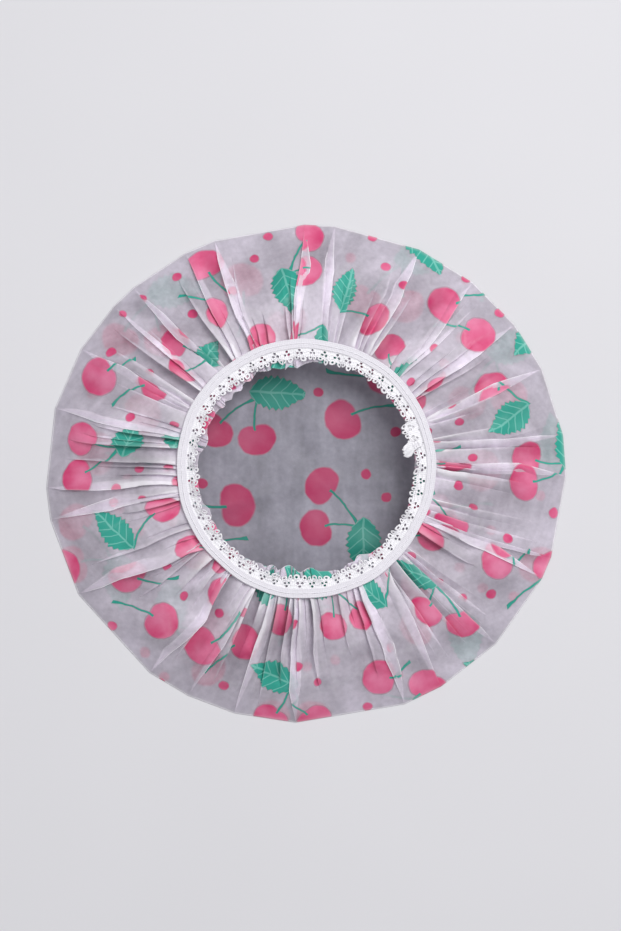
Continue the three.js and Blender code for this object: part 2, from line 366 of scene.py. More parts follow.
@dataclass(frozen=True)
class PrintedFilm:
    """Frosted PEVA film, cast and printed with a small fruit pattern.

    The frosting scatters light, so one layer is milky and stacked layers turn white. The ink is
    thin and slightly uneven. The film whitens where it is creased, partly as painted highlight,
    and carries painted highlights on the gathers' crests and painted shade in their hollows. The
    crown is painted shade: a darker grey copy of the film with dimmer ink.
    """

    clear: str = "f9effd"
    # The crown's colour is a darker grey copy of the same film: painted shade.
    shaded: str = "96949f"
    # The white that creases and crests are mixed toward, partly painted highlight.
    stress_white_and_highlight: str = "ffffff"
    pink: str = "de3d76"
    pink_light: str = "f78fb4"
    green: str = "2fab98"
    green_light: str = "74cbbb"
    sheet: float = 480.0
    skirt_cover: float = 0.45
    gathered_cover: float = 0.66
    crown_cover: float = 0.93
    ink_cover: float = 0.9
    crease_cover: float = 0.85
    # Painted shade: how dark the deepest hollows between the gathers make the film.
    gather_shade: float = 0.66
    # Painted shade: how bright the ink stays on the crown.
    crown_ink: float = 0.6
    roughness: float = 0.46
    ior: float = 1.48
    specular: float = 0.35
    # The frosting's own grain is about 0.2 mm. It is drawn at 3.2 mm, as coarse as it needs to show.
    grain: float = 3.2
    grain_depth: float = 0.6
    haze_width: float = 100 / 3
    streak: Pair = (50 / 3, 250 / 3)
    ink_cloud: float = 100 / 7
    # How dark and how light the haze, the streaks and the grain make the film.
    haze_tone: Pair = (0.8, 1.18)
    streak_tone: Pair = (0.78, 1.2)
    grain_tone: Pair = (0.92, 1.08)
    streak_turn: float = 0.15
    # How far bare and printed film turn white at creases and crests, partly painted highlight.
    whitening_and_highlight: Pair = (0.55, 0.2)
    # The print's repeat and how it is laid on the sheet.
    repeat: float = 54.0
    enlarge: float = 1.16
    layout_shift: tuple[float, float, float] = (11.0, 17.0, 0.0)
    layout_turn: float = 0.21
    column_drop: float = 0.37
    square_tilt: float = 0.2
    waver: float = 1.6
    waver_width: float = 6.25
    # The drawings: edges that run from full ink to none, then lengths and half widths.
    fruit_edge: Pair = (7.3, 8.3)
    cheek_shift: Pair = (0.6, 2.7)
    bright_spot: tuple[float, float, float] = (-3.2, 2.8, 0.0)
    bright_edge: Pair = (1.0, 11.0)
    stem_ends: Pair = (5.0, 25.0)
    stem_bend: float = 6.0
    stem_half: Pair = (0.62, 1.15)
    leaf_length: float = 27.0
    leaf_half: float = 7.0
    leaf_tooth: float = 1.35
    vein_gap: float = 2.3
    vein_edge: Pair = (0.15, 0.45)
    midrib_edge: Pair = (0.3, 0.6)
    dot_edge: Pair = (2.1, 2.7)

    def blank(self, name: str) -> tuple[NodeTree, NodeSocket, Node]:
        """Starts one drawing of the print.

        Args:
            name: The drawing's name.

        Returns:
            Its tree, the field that it is drawn in and the node that takes its inks.
        """
        tree = bpy.data.node_groups.new(name, "ShaderNodeTree")
        tree.interface.new_socket("Field", in_out="INPUT", socket_type="NodeSocketVector")
        for ink in Ink:
            tree.interface.new_socket(ink.value, in_out="OUTPUT", socket_type="NodeSocketFloat")
        return tree, tree.nodes.new("NodeGroupInput").outputs[0], tree.nodes.new("NodeGroupOutput")

    def cherry(self) -> NodeTree:
        """Draws one cherry with its stem, the fruit 20 mm wide, at the middle of its own field.

        Returns:
            The drawing.
        """
        tree, spot, end = self.blank("cherry")
        x = add(tree, "SeparateXYZ", spot)
        y = x.node.outputs[1]
        half = add(tree, "Math.ABSOLUTE", x)
        cheek = add(tree, "MapRange", y, -7.0, 7.0, *self.cheek_shift)
        aside = add(tree, "Math.SUBTRACT", half, cheek)
        tall = add(tree, "Math.MULTIPLY", y, 1.02)
        both = add(tree, "CombineXYZ", aside, tall)
        reach = add(tree, "VectorMath.LENGTH", both, out="Value")
        fruit = add(tree, "MapRange", reach, *self.fruit_edge, 1.0, 0.0)
        bright = add(tree, "VectorMath.DISTANCE", spot, self.bright_spot, out="Value")
        light = add(tree, "MapRange", bright, *self.bright_edge, 1.0, 0.0)
        rise = add(tree, "MapRange", y, *self.stem_ends, 0.0, 1.0, clamp=False)
        bend = add(tree, "Math.POWER", rise, 1.7)
        line = add(tree, "Math.MULTIPLY", bend, self.stem_bend)
        off = add(tree, "Math.SUBTRACT", x, line)
        near = add(tree, "Math.ABSOLUTE", off)
        thick = add(tree, "MapRange", rise, 0.75, 1.0, *self.stem_half)
        inside = add(tree, "Math.SUBTRACT", thick, near)
        soft = add(tree, "MapRange", inside, -0.2, 0.2, 0.0, 1.0)
        span = add(tree, "Math.COMPARE", rise, 0.5, 0.5)
        lit = add(tree, "Math.MULTIPLY", light, fruit)
        stem = add(tree, "Math.MULTIPLY", soft, span)
        for ink, drawn in ((Ink.FRUIT, fruit), (Ink.LIGHT, lit), (Ink.GREEN, stem)):
            tree.links.new(drawn, end.inputs[ink.value])
        return tree

    def leaf(self) -> NodeTree:
        """Draws one toothed leaf, 27 mm long, growing up from the middle of its own field.

        Returns:
            The drawing.
        """
        tree, spot, end = self.blank("leaf")
        x = add(tree, "SeparateXYZ", spot)
        y = x.node.outputs[1]
        half = add(tree, "Math.ABSOLUTE", x)
        share = add(tree, "MapRange", y, 0.0, self.leaf_length, 0.0, 1.0)
        early = add(tree, "Math.POWER", share, 0.75)
        arc = add(tree, "Math.MULTIPLY", early, math.pi)
        wave = add(tree, "Math.SINE", arc)
        tooth = add(tree, "Math.PINGPONG", y, self.leaf_tooth)
        wide = add(tree, "Math.MULTIPLY", wave, self.leaf_half)
        bite = add(tree, "Math.MULTIPLY", tooth, wave)
        brim = add(tree, "Math.ADD", wide, bite)
        inside = add(tree, "Math.SUBTRACT", brim, half)
        blade = add(tree, "MapRange", inside, 0.0, 0.6, 0.0, 1.0)
        slope = add(tree, "Math.MULTIPLY", half, 0.8)
        lag = add(tree, "Math.SUBTRACT", y, slope)
        side = add(tree, "Math.PINGPONG", lag, self.vein_gap)
        thin = add(tree, "MapRange", side, *self.vein_edge, 1.0, 0.0)
        middle = add(tree, "MapRange", half, *self.midrib_edge, 1.0, 0.0)
        lines = add(tree, "Math.MAXIMUM", thin, middle)
        veins = add(tree, "Math.MULTIPLY", lines, blade)
        for ink, drawn in ((Ink.GREEN, blade), (Ink.VEIN, veins)):
            tree.links.new(drawn, end.inputs[ink.value])
        return tree

    def dot(self) -> NodeTree:
        """Draws one dot, 5 mm wide.

        Returns:
            The drawing.
        """
        tree, spot, end = self.blank("dot")
        reach = add(tree, "VectorMath.LENGTH", spot, out="Value")
        round_spot = add(tree, "MapRange", reach, *self.dot_edge, 1.0, 0.0)
        tree.links.new(round_spot, end.inputs[Ink.FRUIT.value])
        return tree

    def squares(self, tree: NodeTree, flat: NodeSocket) -> tuple[NodeSocket, dict[Square, NodeSocket]]:
        """Divides the flat sheet into the squares of the repeat, turned this way and that.

        Args:
            tree: The film's node tree.
            flat: The flat sheet's field in millimetres.

        Returns:
            Each square's own field from its middle, and where each kind of square is.
        """
        noise = add(tree, "TexNoise", flat, named={"Scale": 1 / self.waver_width, "Detail": 1.0},
                    out="Color")
        middle = add(tree, "VectorMath.SUBTRACT", noise, (0.5, 0.5, 0.5))
        sway = add(tree, "VectorMath.SCALE", middle, named={3: self.waver})
        drawn = add(tree, "VectorMath.ADD", flat, sway)
        smaller = 1 / self.enlarge
        moved = add(tree, "Mapping", drawn, self.layout_shift, (0.0, 0.0, self.layout_turn),
                    (smaller, smaller, 1.0))
        column = add(tree, "SeparateXYZ", moved)
        line = add(tree, "Math.DIVIDE", column, self.repeat)
        number = add(tree, "Math.FLOOR", line)
        drop = add(tree, "Math.MULTIPLY", number, self.repeat * self.column_drop)
        lowered = add(tree, "Math.SUBTRACT", column.node.outputs[1], drop)
        rows = add(tree, "Math.DIVIDE", lowered, self.repeat)
        row = add(tree, "Math.FLOOR", rows)
        cell = add(tree, "CombineXYZ", number, row)
        own_x = add(tree, "Math.FRACT", line)
        own_y = add(tree, "Math.FRACT", rows)
        own = add(tree, "CombineXYZ", own_x, own_y)
        centred = add(tree, "VectorMath.SUBTRACT", own, (0.5, 0.5, 0.0))
        field_mm = add(tree, "VectorMath.SCALE", centred, named={3: self.repeat})
        chance = add(tree, "TexWhiteNoise", cell, noise_dimensions="2D", out="Value")
        quarter = add(tree, "Math.MULTIPLY", chance, 4.0)
        whole = add(tree, "Math.FLOOR", quarter)
        rest = add(tree, "Math.FRACT", quarter)
        tilt = add(tree, "MapRange", rest, 0.0, 1.0, -self.square_tilt, self.square_tilt)
        angle = add(tree, "Math.MULTIPLY_ADD", whole, math.pi / 2, tilt)
        turned = add(tree, "VectorRotate", field_mm, named={"Angle": angle}, rotation_type="Z_AXIS")
        both = add(tree, "Math.ADD", number, row)
        odd = add(tree, "Math.FLOORED_MODULO", both, 2.0)
        leafy = add(tree, "Math.GREATER_THAN", rest, 0.5)
        sprig = add(tree, "Math.MULTIPLY", odd, leafy)
        pair = add(tree, "Math.SUBTRACT", 1.0, odd)
        twin = add(tree, "Math.SUBTRACT", odd, sprig)
        return turned, {Square.PAIR: pair, Square.SPRIG: sprig, Square.TWIN: twin}

    def pattern(self, tree: NodeTree, flat: NodeSocket) -> dict[Ink, NodeSocket]:
        """Lays cherries, leaves and dots over the sheet.

        Args:
            tree: The film's node tree.
            flat: The flat sheet's field in millimetres.

        Returns:
            How much of each ink there is at each point.
        """
        drawings = {Drawing.CHERRY: self.cherry(), Drawing.LEAF: self.leaf(), Drawing.DOT: self.dot()}
        own_field, squares = self.squares(tree, flat)
        inks: dict[Ink, Any] = {}
        for motif in PRINT:
            placed = add(tree, "Mapping", own_field, (*motif.at, 0.0), (0.0, 0.0, math.radians(motif.turn)),
                         (motif.size, motif.size, 1.0), vector_type="TEXTURE")
            drawing = add(tree, "Group", placed, node_tree=drawings[motif.drawing]).node
            for ink in motif.drawing.value:
                here = add(tree, "Math.MULTIPLY", drawing.outputs[ink.value], squares[motif.square])
                inks[ink] = add(tree, "Math.MAXIMUM", inks[ink], here) if ink in inks else here
        return inks

    def film_tone(self, tree: NodeTree, flat: NodeSocket, grain: NodeSocket) -> NodeSocket:
        """Mottles the bare film with haze, drawn-out streaks and grain.

        Args:
            tree: The film's node tree.
            flat: The flat sheet's field in millimetres.
            grain: The frosting's grain.

        Returns:
            How light the film is at each point, about 1.
        """
        haze = add(tree, "TexNoise", flat, named={
            "Scale": 1 / self.haze_width, "Detail": 6.0, "Roughness": 0.68})
        cloudy = add(tree, "MapRange", haze, *NOISE_SPAN, *self.haze_tone)
        drawn_out = add(tree, "Mapping", flat, None, (0.0, 0.0, self.streak_turn),
                        (1 / self.streak[0], 1 / self.streak[1], 1.0))
        streak = add(tree, "TexNoise", drawn_out, named={"Scale": 1.0, "Detail": 3.0, "Roughness": 0.65})
        stretched = add(tree, "MapRange", streak, *NOISE_SPAN, *self.streak_tone)
        grained = add(tree, "MapRange", grain, *NOISE_SPAN, *self.grain_tone)
        smoky = add(tree, "Math.MULTIPLY", cloudy, stretched)
        return add(tree, "Math.MULTIPLY", smoky, grained)

    def ink_tone(self, tree: NodeTree, flat: NodeSocket, zone: NodeSocket,
                 inks: dict[Ink, NodeSocket]) -> NodeSocket:
        """Colours the inks, washed out in clouds, and dimmer on the crown as painted shade.

        Args:
            tree: The film's node tree.
            flat: The flat sheet's field in millimetres.
            zone: 0 on the crown and 1 on the skirt.
            inks: How much of each ink there is.

        Returns:
            The ink's colour at each point.
        """
        clouds = add(tree, "TexNoise", flat, named={"Scale": 1 / self.ink_cloud, "Detail": 3.0})
        cloud = add(tree, "MapRange", clouds, 0.38, 0.68, 0.0, 0.55)
        paler = add(tree, "Math.MULTIPLY_ADD", inks[Ink.LIGHT], 0.55, cloud, use_clamp=True)
        # Painted shade: on the crown the ink is washed out less, so it reads darker.
        much = add(tree, "MapRange", zone, 0.0, 1.0, 0.45, 1.0)
        wash = add(tree, "Math.MULTIPLY", paler, much)
        pink = add(tree, "Mix", wash, named={6: linear(self.pink), 7: linear(self.pink_light)}, **COLOURS)
        leafy = add(tree, "Mix", inks[Ink.VEIN],
                    named={6: linear(self.green), 7: linear(self.green_light)}, **COLOURS)
        # Painted shade: the ink is dimmer on the crown.
        dim = add(tree, "MapRange", zone, 0.0, 1.0, self.crown_ink, 1.0)
        first = add(tree, "Mix", inks[Ink.GREEN], named={6: pink, 7: leafy}, **COLOURS)
        return add(tree, "VectorMath.SCALE", first, named={3: dim})

    def material(self) -> Material:
        """Makes the film's finish.

        Returns:
            The new material.
        """
        finish = bpy.data.materials.new("frosted_peva_film")
        tree = empty_tree(finish)
        sheet = add(tree, "UVMap", uv_map="flat_sheet")
        flat = add(tree, "VectorMath.SCALE", sheet, named={3: self.sheet})
        zone, crease, hollow, gather = (add(tree, "Attribute", attribute_name=name, out="Fac")
                                        for name in ("skirt_share", "crease", "hollow", "gather"))
        grain = add(tree, "TexNoise", flat, named={
            "Scale": 1 / self.grain, "Detail": 3.0, "Roughness": 0.5})
        inks = self.pattern(tree, flat)
        inked = self.ink_tone(tree, flat, zone, inks)
        # Painted shade: the crown is coloured as a darker grey copy of the same film.
        base = add(tree, "Mix", zone, named={6: linear(self.shaded), 7: linear(self.clear)}, **COLOURS)
        uneven = self.film_tone(tree, flat, grain)
        milky = add(tree, "VectorMath.SCALE", base, named={3: uneven})
        printed = add(tree, "Math.MAXIMUM", inks[Ink.FRUIT], inks[Ink.GREEN])
        colour = add(tree, "Mix", printed, named={6: milky, 7: inked}, **COLOURS)
        # Crease whitening, partly painted highlight: creases and crests are mixed toward white, less on the
        # ink.
        bare = add(tree, "MapRange", printed, 0.0, 1.0, *self.whitening_and_highlight)
        whiteness_and_highlight = add(tree, "Math.MULTIPLY", crease, bare)
        # Painted shade: the film is darkened in the hollows between the gathers and in the broad folds'
        # valleys.
        painted_shade = add(tree, "MapRange", hollow, 0.0, 1.0, 1.0, self.gather_shade)
        shaded = add(tree, "VectorMath.SCALE", colour, named={3: painted_shade})
        whitened = add(tree, "Mix", whiteness_and_highlight, named={6: shaded, 7: linear(self.stress_white_and_highlight)}, **COLOURS)
        drawn_in = add(tree, "MapRange", gather, 0.35, 0.95, self.skirt_cover, self.gathered_cover)
        cover = add(tree, "MapRange", zone, 0.0, 1.0, self.crown_cover, drawn_in)
        laid = add(tree, "Math.MULTIPLY", printed, self.ink_cover)
        covered = add(tree, "Math.MAXIMUM", cover, laid)
        edged = add(tree, "Math.MULTIPLY", crease, self.crease_cover)
        alpha = add(tree, "Math.MAXIMUM", covered, edged)
        bump = add(tree, "Bump", named={
            "Height": grain, "Strength": 0.16, "Distance": self.grain_depth * MM})
        shader = add(tree, "BsdfPrincipled", named={
            "Base Color": whitened, "Alpha": alpha, "Normal": bump, "Roughness": self.roughness,
            "IOR": self.ior, "Specular IOR Level": self.specular})
        add(tree, "OutputMaterial", shader)
        return finish


@dataclass(frozen=True)
class WovenYarn:
    """Polyester yarn woven into a narrow white band: matt, with fine ribs across the pull.

    The yarns are 0.3 mm apart, and drawn at the coarser pitch given here so that they show.
    """

    name: str = "woven_polyester"
    colour: str = "ece9ef"
    # The darker colour in the grooves between the ribs: painted shade.
    hollow: str = "e1dee6"
    pitch: float = 0.9
    depth: float = 0.12
    roughness: float = 0.72
    sheen: float = 0.2
    fuzz: float = 0.7
    ring_radius: float = 66.0
    ring_shift: float = 3.0

    def material(self) -> Material:
        """Makes the yarn's finish, with its ribs counted round the mouth.

        Returns:
            The new material.
        """
        finish = bpy.data.materials.new(self.name)
        tree = empty_tree(finish)
        place = add(tree, "TexCoord", out="Object")
        moved = add(tree, "Mapping", place, (0.0, -self.ring_shift * MM, 0.0))
        axis = add(tree, "SeparateXYZ", moved)
        angle = add(tree, "Math.ARCTAN2", axis.node.outputs[1], axis)
        turns = add(tree, "Math.MULTIPLY", angle, self.ring_radius / self.pitch)
        picks = add(tree, "Math.MULTIPLY", turns, TAU)
        weft = add(tree, "Math.SINE", picks)
        fuzz = add(tree, "TexNoise", place, named={"Scale": 1 / (self.fuzz * MM), "Detail": 3.0})
        blend = add(tree, "Math.MULTIPLY_ADD", weft, 0.25, fuzz)
        tone = add(tree, "MapRange", blend, 0.15, 0.6, 0.0, 1.0)
        # Painted shade: the grooves between the ribs are mixed toward the darker colour, with a random fuzz.
        colour = add(tree, "Mix", tone, named={6: linear(self.hollow), 7: linear(self.colour)}, **COLOURS)
        bump = add(tree, "Bump", named={"Height": blend, "Strength": 0.3, "Distance": self.depth * MM})
        shader = add(tree, "BsdfPrincipled", named={
            "Base Color": colour, "Normal": bump, "Roughness": self.roughness, "Sheen Weight": self.sheen})
        add(tree, "OutputMaterial", shader)
        return finish


@dataclass(frozen=True)
class SpunThread:
    """Twisted thread or covered rubber: a slanting ply along the strand and a soft surface."""

    name: str
    colour: str
    # The darker colour in the twist's grooves: painted shade.
    shade_in_grooves: str
    pitch: float
    roughness: float
    depth: float = 0.1
    # The fibres are about 0.02 mm thick, and drawn at 0.3 mm so that they show.
    fuzz: float = 0.3

    def material(self) -> Material:
        """Makes the strand's finish.

        Returns:
            The new material.
        """
        finish = bpy.data.materials.new(self.name)
        tree = empty_tree(finish)
        place = add(tree, "TexCoord", out="Object")
        twist = add(tree, "TexWave", place, named={"Scale": 0.5 / (self.pitch * MM), "Distortion": 1.5},
                    bands_direction="DIAGONAL", out="Fac")
        fuzz = add(tree, "TexNoise", place, named={"Scale": 1 / (self.fuzz * MM), "Detail": 2.0})
        both = add(tree, "Math.MULTIPLY_ADD", twist, 0.6, fuzz)
        tone = add(tree, "MapRange", both, 0.3, 0.9, 0.0, 1.0)
        # Painted shade: the twist's grooves are mixed toward the darker colour, with a random fuzz.
        colour = add(tree, "Mix", tone, named={6: linear(self.shade_in_grooves), 7: linear(self.colour)}, **COLOURS)
        bump = add(tree, "Bump", named={"Height": both, "Strength": 0.4, "Distance": self.depth * MM})
        shader = add(tree, "BsdfPrincipled", named={
            "Base Color": colour, "Normal": bump, "Roughness": self.roughness})
        add(tree, "OutputMaterial", shader)
        return finish


@dataclass(frozen=True)
class PaleFloor:
    """Painted studio board: pale, matt and faintly mottled, running into a pale backdrop far off."""

    colour: str = "e4e3e6"
    mottle: str = "dfdee1"
    far: str = "dedee2"
    roughness: float = 0.9
    specular: float = 0.1
    mottle_width: float = 1000 / 6
    fade: Pair = (320.0, 1300.0)

    def material(self) -> Material:
        """Makes the floor's finish.

        Returns:
            The new material.
        """
        finish = bpy.data.materials.new("painted_board")
        tree = empty_tree(finish)
        place = add(tree, "TexCoord", out="Object")
        cloud = add(tree, "TexNoise", place, named={"Scale": 1 / (self.mottle_width * MM), "Detail": 2.0})
        colour = add(tree, "Mix", cloud, named={6: linear(self.mottle), 7: linear(self.colour)}, **COLOURS)
        shader = add(tree, "BsdfPrincipled", named={
            "Base Color": colour, "Roughness": self.roughness, "Specular IOR Level": self.specular})
        reach = add(tree, "VectorMath.LENGTH", place, out="Value")
        distant = add(tree, "MapRange", reach, self.fade[0] * MM, self.fade[1] * MM, 0.0, 1.0,
                      interpolation_type="SMOOTHSTEP")
        fade = add(tree, "Math.MULTIPLY", distant, seen_rays(tree))
        backdrop = add(tree, "Emission", linear(self.far), 1.0)
        add(tree, "OutputMaterial", add(tree, "MixShader", fade, shader, backdrop))
        return finish


@dataclass
class Pleats:
    """The pleats round the skirt, in order, and the groups that they belong to."""

    angle: Array
    apex: Array
    weight: Array
    lean: Array
    tall: Array
    drift: Array
    group: Array
    first: Array
    low: Array
    width: Array


@dataclass
class FilmSheet:
    """The round sheet of film: crown, pleated skirt and raw frill in one mesh.

    A table gives values by the share of the way from the rim (0) to the seam (1), or for the
    frill from the seam (0) to its edge (1).
    """

    half_width: float = 140.0
    half_depth: float = 134.0
    mean_radius: float = 137.0
    mouth_shift: float = 3.0
    seam_radius: float = 66.0
    seam_height: float = 23.55
    skirt_length: float = 77.0
    frill_length: float = 13.0
    crease_radius: float = 0.25
    crown_height: float = 0.08
    seed: int = 7
    # The skirt's rings: close together past the rim, and evenly spaced from then on.
    first_rings: tuple[float, ...] = (0.0, 0.006, 0.016, 0.03)
    even_from: float = 0.05
    skirt_rows: int = 44
    frill_rows: int = 8
    finish: PrintedFilm = field(default_factory=PrintedFilm)
    # How the pleats are laid out: starts on the way in, with the odds of each, and sizes.
    pleat_pitch: float = 3.2
    turn_odds: float = 0.45
    main_weight: Pair = (1.4, 2.0)
    side_weight: Pair = (0.6, 1.4)
    swing: Pair = (-0.2, 0.2)
    starts: Table = ((0.1, 0.25), (0.33, 0.4), (0.54, 0.35))
    start_spread: float = 0.25
    tall: Pair = (0.4, 1.3)
    parting: Table = ((0.0, 0.25), (0.2, 1.0))
    # How one pleat is folded: its least width, the depths at which it is half as tall as it gets
    # and fully creased, and the step from its fold to the panel beside it.
    least_fold: float = 0.45
    tall_depth: float = 1.5
    creased_depth: float = 2.5
    panel_step: float = 0.9
    billow: float = 0.5
    # The skirt's line and the pleats on it: how level they lie, their height, and the broad folds.
    arch: float = 6.0
    proud: float = 2.0
    puff: float = 1.7
    level_share: Table = ((0, 1), (0.4, 0.97), (0.85, 0.81), (0.96, 0.86), (1, 0.97))
    pleat_height: Table = ((0, 0), (0.05, 1.1), (0.15, 3.6), (0.35, 6.3), (0.6, 8.2), (0.86, 11.5),
                           (0.95, 8.5), (1, 0.3))
    fold_height: Table = ((0, 0), (0.05, 0.8), (0.15, 2.0), (0.35, 2.6), (0.7, 1.8), (0.95, 0))
    least_rise: float = 1.5
    head_room: float = 0.4
    # The slack film between the pleats: how many sets of waves, ridges and facets, how long they
    # are and how high they stand.
    swells: int = 7
    swell_length: Pair = (26, 70)
    swell_height: float = 1.4
    crumples: int = 5
    crumple_length: Pair = (13, 26)
    crumple_bend: Pair = (15, 30)
    crumple_height: float = 1.1
    facet_sets: int = 4
    facet_length: Pair = (38, 66)
    facet_crease: float = 1.2
    facet_height: float = 2.2
    closer: float = 1.2
    broad_height: Pair = (0.4, 1.3)
    # The small puckers that the elastic draws up, and the height that keeps them under the band.
    pucker_height: Table = ((0.8, 0), (0.92, 0.75))
    puckers: int = 165
    pucker_stray: Triples = ((2, 5, 0), (3, 13, 0))
    lid: Table = ((0.9, 40), (0.955, 23.9), (1.0, 23.9))
    rounding: Table = ((0.55, 0), (0.85, 1))
    rounding_weights: tuple[int, ...] = (1, 2, 3, 2, 1)
    # Painted highlights on the ridges and painted shade in the hollows between the gathers, and the whitened
    # crease round the rim, partly painted highlight.
    relief: Table = ((0.25, 0), (0.82, 1), (0.92, 1.7))
    relief_height: float = 2.2
    relief_reach: int = 13
    crest_highlight: float = 0.95
    facet_white_and_highlight: float = 0.5
    hollow_depth: float = 2.4
    hollow_dark: float = 0.6
    rim_creases: tuple[float, ...] = (0.15, 0.6, 1.0, 1.0, 0.4)
    # The frill, and the places where it shows past the lace: angle, spread and how far.
    frill_level_share: Table = ((0, 0.97), (0.4, 0.9), (1, 0.9))
    frill_height: Table = ((0, 0.25), (0.3, 0.7), (1, 2.0))
    frill_top: float = 24.2
    frill_droop: float = 0.5
    frill_reach: Pair = (0.6, 0.18)
    frill_lobe_reach: Pair = (0.05, 0.27)
    frill_crease: float = 0.5
    raw_edge_white: float = 0.9
    frill_lobes: int = 20
    frill_stray: Triples = ((1.3, 3, 0.5), (0.9, 7, 2.0))
    frill_shown: Triples = ((-1.66, 0.34, 1.0), (-1.05, 0.16, 0.7), (1.72, 0.28, 0.8),
                            (2.35, 0.33, 0.75), (2.85, 0.18, 0.7), (3.6, 0.12, 0.5))
    # The crown's rings by their share of the rim's size, those that keep one point in two or three,
    # and how far the film rises.
    crown_edge: Pair = (0.994, 0.97)
    crown_even: tuple[float, float, float] = (0.93, 0.05, -0.035)
    crown_thinner: tuple[tuple[int, int], ...] = ((2, 3), (13, 3), (23, 2))
    crown_rise: float = 1.2
    corner: Array = field(init=False)
    spots: Array = field(init=False)
    pleats: Pleats = field(init=False)

    def __post_init__(self) -> None:
        """Places the rim's corners and the pleats."""
        spots = ray(np.radians(RIM_CORNERS)) * [self.half_width, self.half_depth]
        turn = np.arctan2(spots[:, 1], spots[:, 0]) % TAU
        order = np.argsort(turn)
        self.corner, self.spots = turn[order], spots[order]
        self.pleats = self.lay_out_pleats()

    def rim_radius(self, angle: Array) -> Array:
        """Gives how far the rim is from the middle.

        Args:
            angle: Angles round the middle.

        Returns:
            The rim's radius at each of them, along the straight edges between its corners.
        """
        count = len(self.corner)
        edge = (np.searchsorted(self.corner, angle % TAU, side="right") - 1) % count
        start = self.spots[edge]
        run = self.spots[(edge + 1) % count] - start
        normal = np.stack([run[..., 1], -run[..., 0]], -1)
        facing = normal[..., 0] * np.cos(angle) + normal[..., 1] * np.sin(angle)
        return (normal * start).sum(-1) / facing

    def lay_out_pleats(self) -> Pleats:
        """Gives each rim corner a main pleat, with smaller ones that start further in beside it.

        Returns:
            The pleats, lower beside a place where they part to both sides.
        """
        rng = np.random.default_rng(self.seed)
        corner = self.corner
        high = (corner + np.append(corner[1:], corner[0] + TAU)) / 2
        low = np.append(high[-1] - TAU, high[:-1])
        pitch = math.radians(self.pleat_pitch)
        starts, odds = zip(*self.starts)
        lean = Lean.RIGHT
        groups: list[dict[str, Array]] = []
        for k, middle in enumerate(corner):
            if rng.random() < self.turn_odds:
                lean = Lean.LEFT if lean is Lean.RIGHT else Lean.RIGHT
            main = rng.uniform(*self.main_weight)
            swing = rng.uniform(*self.swing) * (high[k] - low[k])
            sides = []
            for begin, finish in ((low[k], middle), (middle, high[k])):
                weights = rng.uniform(*self.side_weight, max(0, round((finish - begin) / pitch)))
                lead = 0.5 if finish == middle else main / 2
                total = weights.sum() + 0.5 + main / 2
                place = begin + (finish - begin) * (lead + np.cumsum(weights) - weights / 2) / total
                sides.append((place, weights))
            spots = np.concatenate([sides[0][0], [middle], sides[1][0]])
            weights = np.concatenate([sides[0][1], [main], sides[1][1]])
            count = len(spots)
            apex = rng.choice(starts, count, p=odds) + rng.uniform(0, self.start_spread, count)
            apex[len(sides[0][0])] = 0.0
            nearness = np.where(spots < middle, (spots - low[k]) / (middle - low[k]),
                                (high[k] - spots) / (high[k] - middle))
            groups.append({
                "angle": spots, "apex": apex, "weight": weights, "drift": swing * nearness,
                "lean": np.full(count, lean.value), "tall": rng.uniform(*self.tall, count),
                "group": np.full(count, k)})
        rows = {key: np.concatenate([group[key] for group in groups]) for key in groups[0]}
        parted = (rows["lean"] < 0) & (np.roll(rows["lean"], -1) > 0)
        away = apart(rows["angle"][:, None], rows["angle"][parted] + pitch / 2).min(1)
        rows["tall"] *= between(self.parting, away)
        first = np.searchsorted(rows["group"], np.arange(len(corner)))
        return Pleats(**rows, first=first, low=low, width=high - low)

    def fold(self, share: Array, flat: Array, plan: Array, level_share: Array,
             height: Array) -> tuple[Array, ...]:
        """Folds rings of the sheet into the pleats.

        Args:
            share: How far in each ring is, 0 at the rim and 1 at the seam.
            flat: The ring's radius on the flat sheet.
            plan: The ring's radius on the cap.
            level_share: How much of the film's length lies level, 1 for pleats that lie flat.
            height: The tallest that pleats stand on the ring.

        Returns:
            Angles on the flat sheet, angles on the cap, heights and crease strength, a row per ring.
        """
        p = self.pleats
        share, flat, plan, level_share, height = (
            a[:, None] for a in (share, flat, plan, level_share, height))
        need = np.clip((1 - plan / (flat * level_share)) / 2, 0, None)
        pull = p.weight * np.clip(share - p.apex, 1e-6 * (p.apex == 0), None)
        total = np.add.reduceat(pull, p.first, axis=1)[:, p.group]
        tuck = need * p.width[p.group] * pull / total
        spot = p.angle + p.drift * share
        least = self.least_fold / flat
        zone = np.maximum(tuck, least)
        start, end = spot - zone / 2, spot + zone / 2
        push = np.clip(least - (following(start, TAU) - end), 0, None) / 2
        start, end = start + np.roll(push, 1, 1), end - push
        zone = np.maximum(end - start, 0.2 * least)
        tuck = np.minimum(tuck, zone)
        spare = p.width - 2 * np.add.reduceat(tuck, p.first, axis=1)
        speed = (p.width / spare)[:, p.group]
        run = np.cumsum(tuck, 1) - tuck
        before = run - run[:, p.first][:, p.group]
        low = p.low[p.group]
        near = low + speed * (start - low - 2 * before)
        far = near + speed * (zone - 2 * tuck)
        depth = speed * tuck * plan
        lift = p.lean * height * p.tall * depth / (depth + self.tall_depth) / 2
        gap = following(start, TAU) - end
        inset = np.minimum(self.panel_step / flat, 0.3 * gap) / np.maximum(gap, TINY)
        inner = [np.full_like(inset, u) for u in (0.0, 0.25, 0.5, 0.75, 1.0)]
        outer = [inset, inset + (1 - 2 * inset) / 3, inset + 2 * (1 - 2 * inset) / 3, 1 - inset]
        rings = []
        for a, b, wrap in ((start, end, TAU), (near, far, TAU), (lift, -lift, 0.0)):
            parts = [a + (b - a) * u for u in inner]
            parts += [b + (following(a, wrap) - b) * u for u in outer]
            if wrap == 0.0:
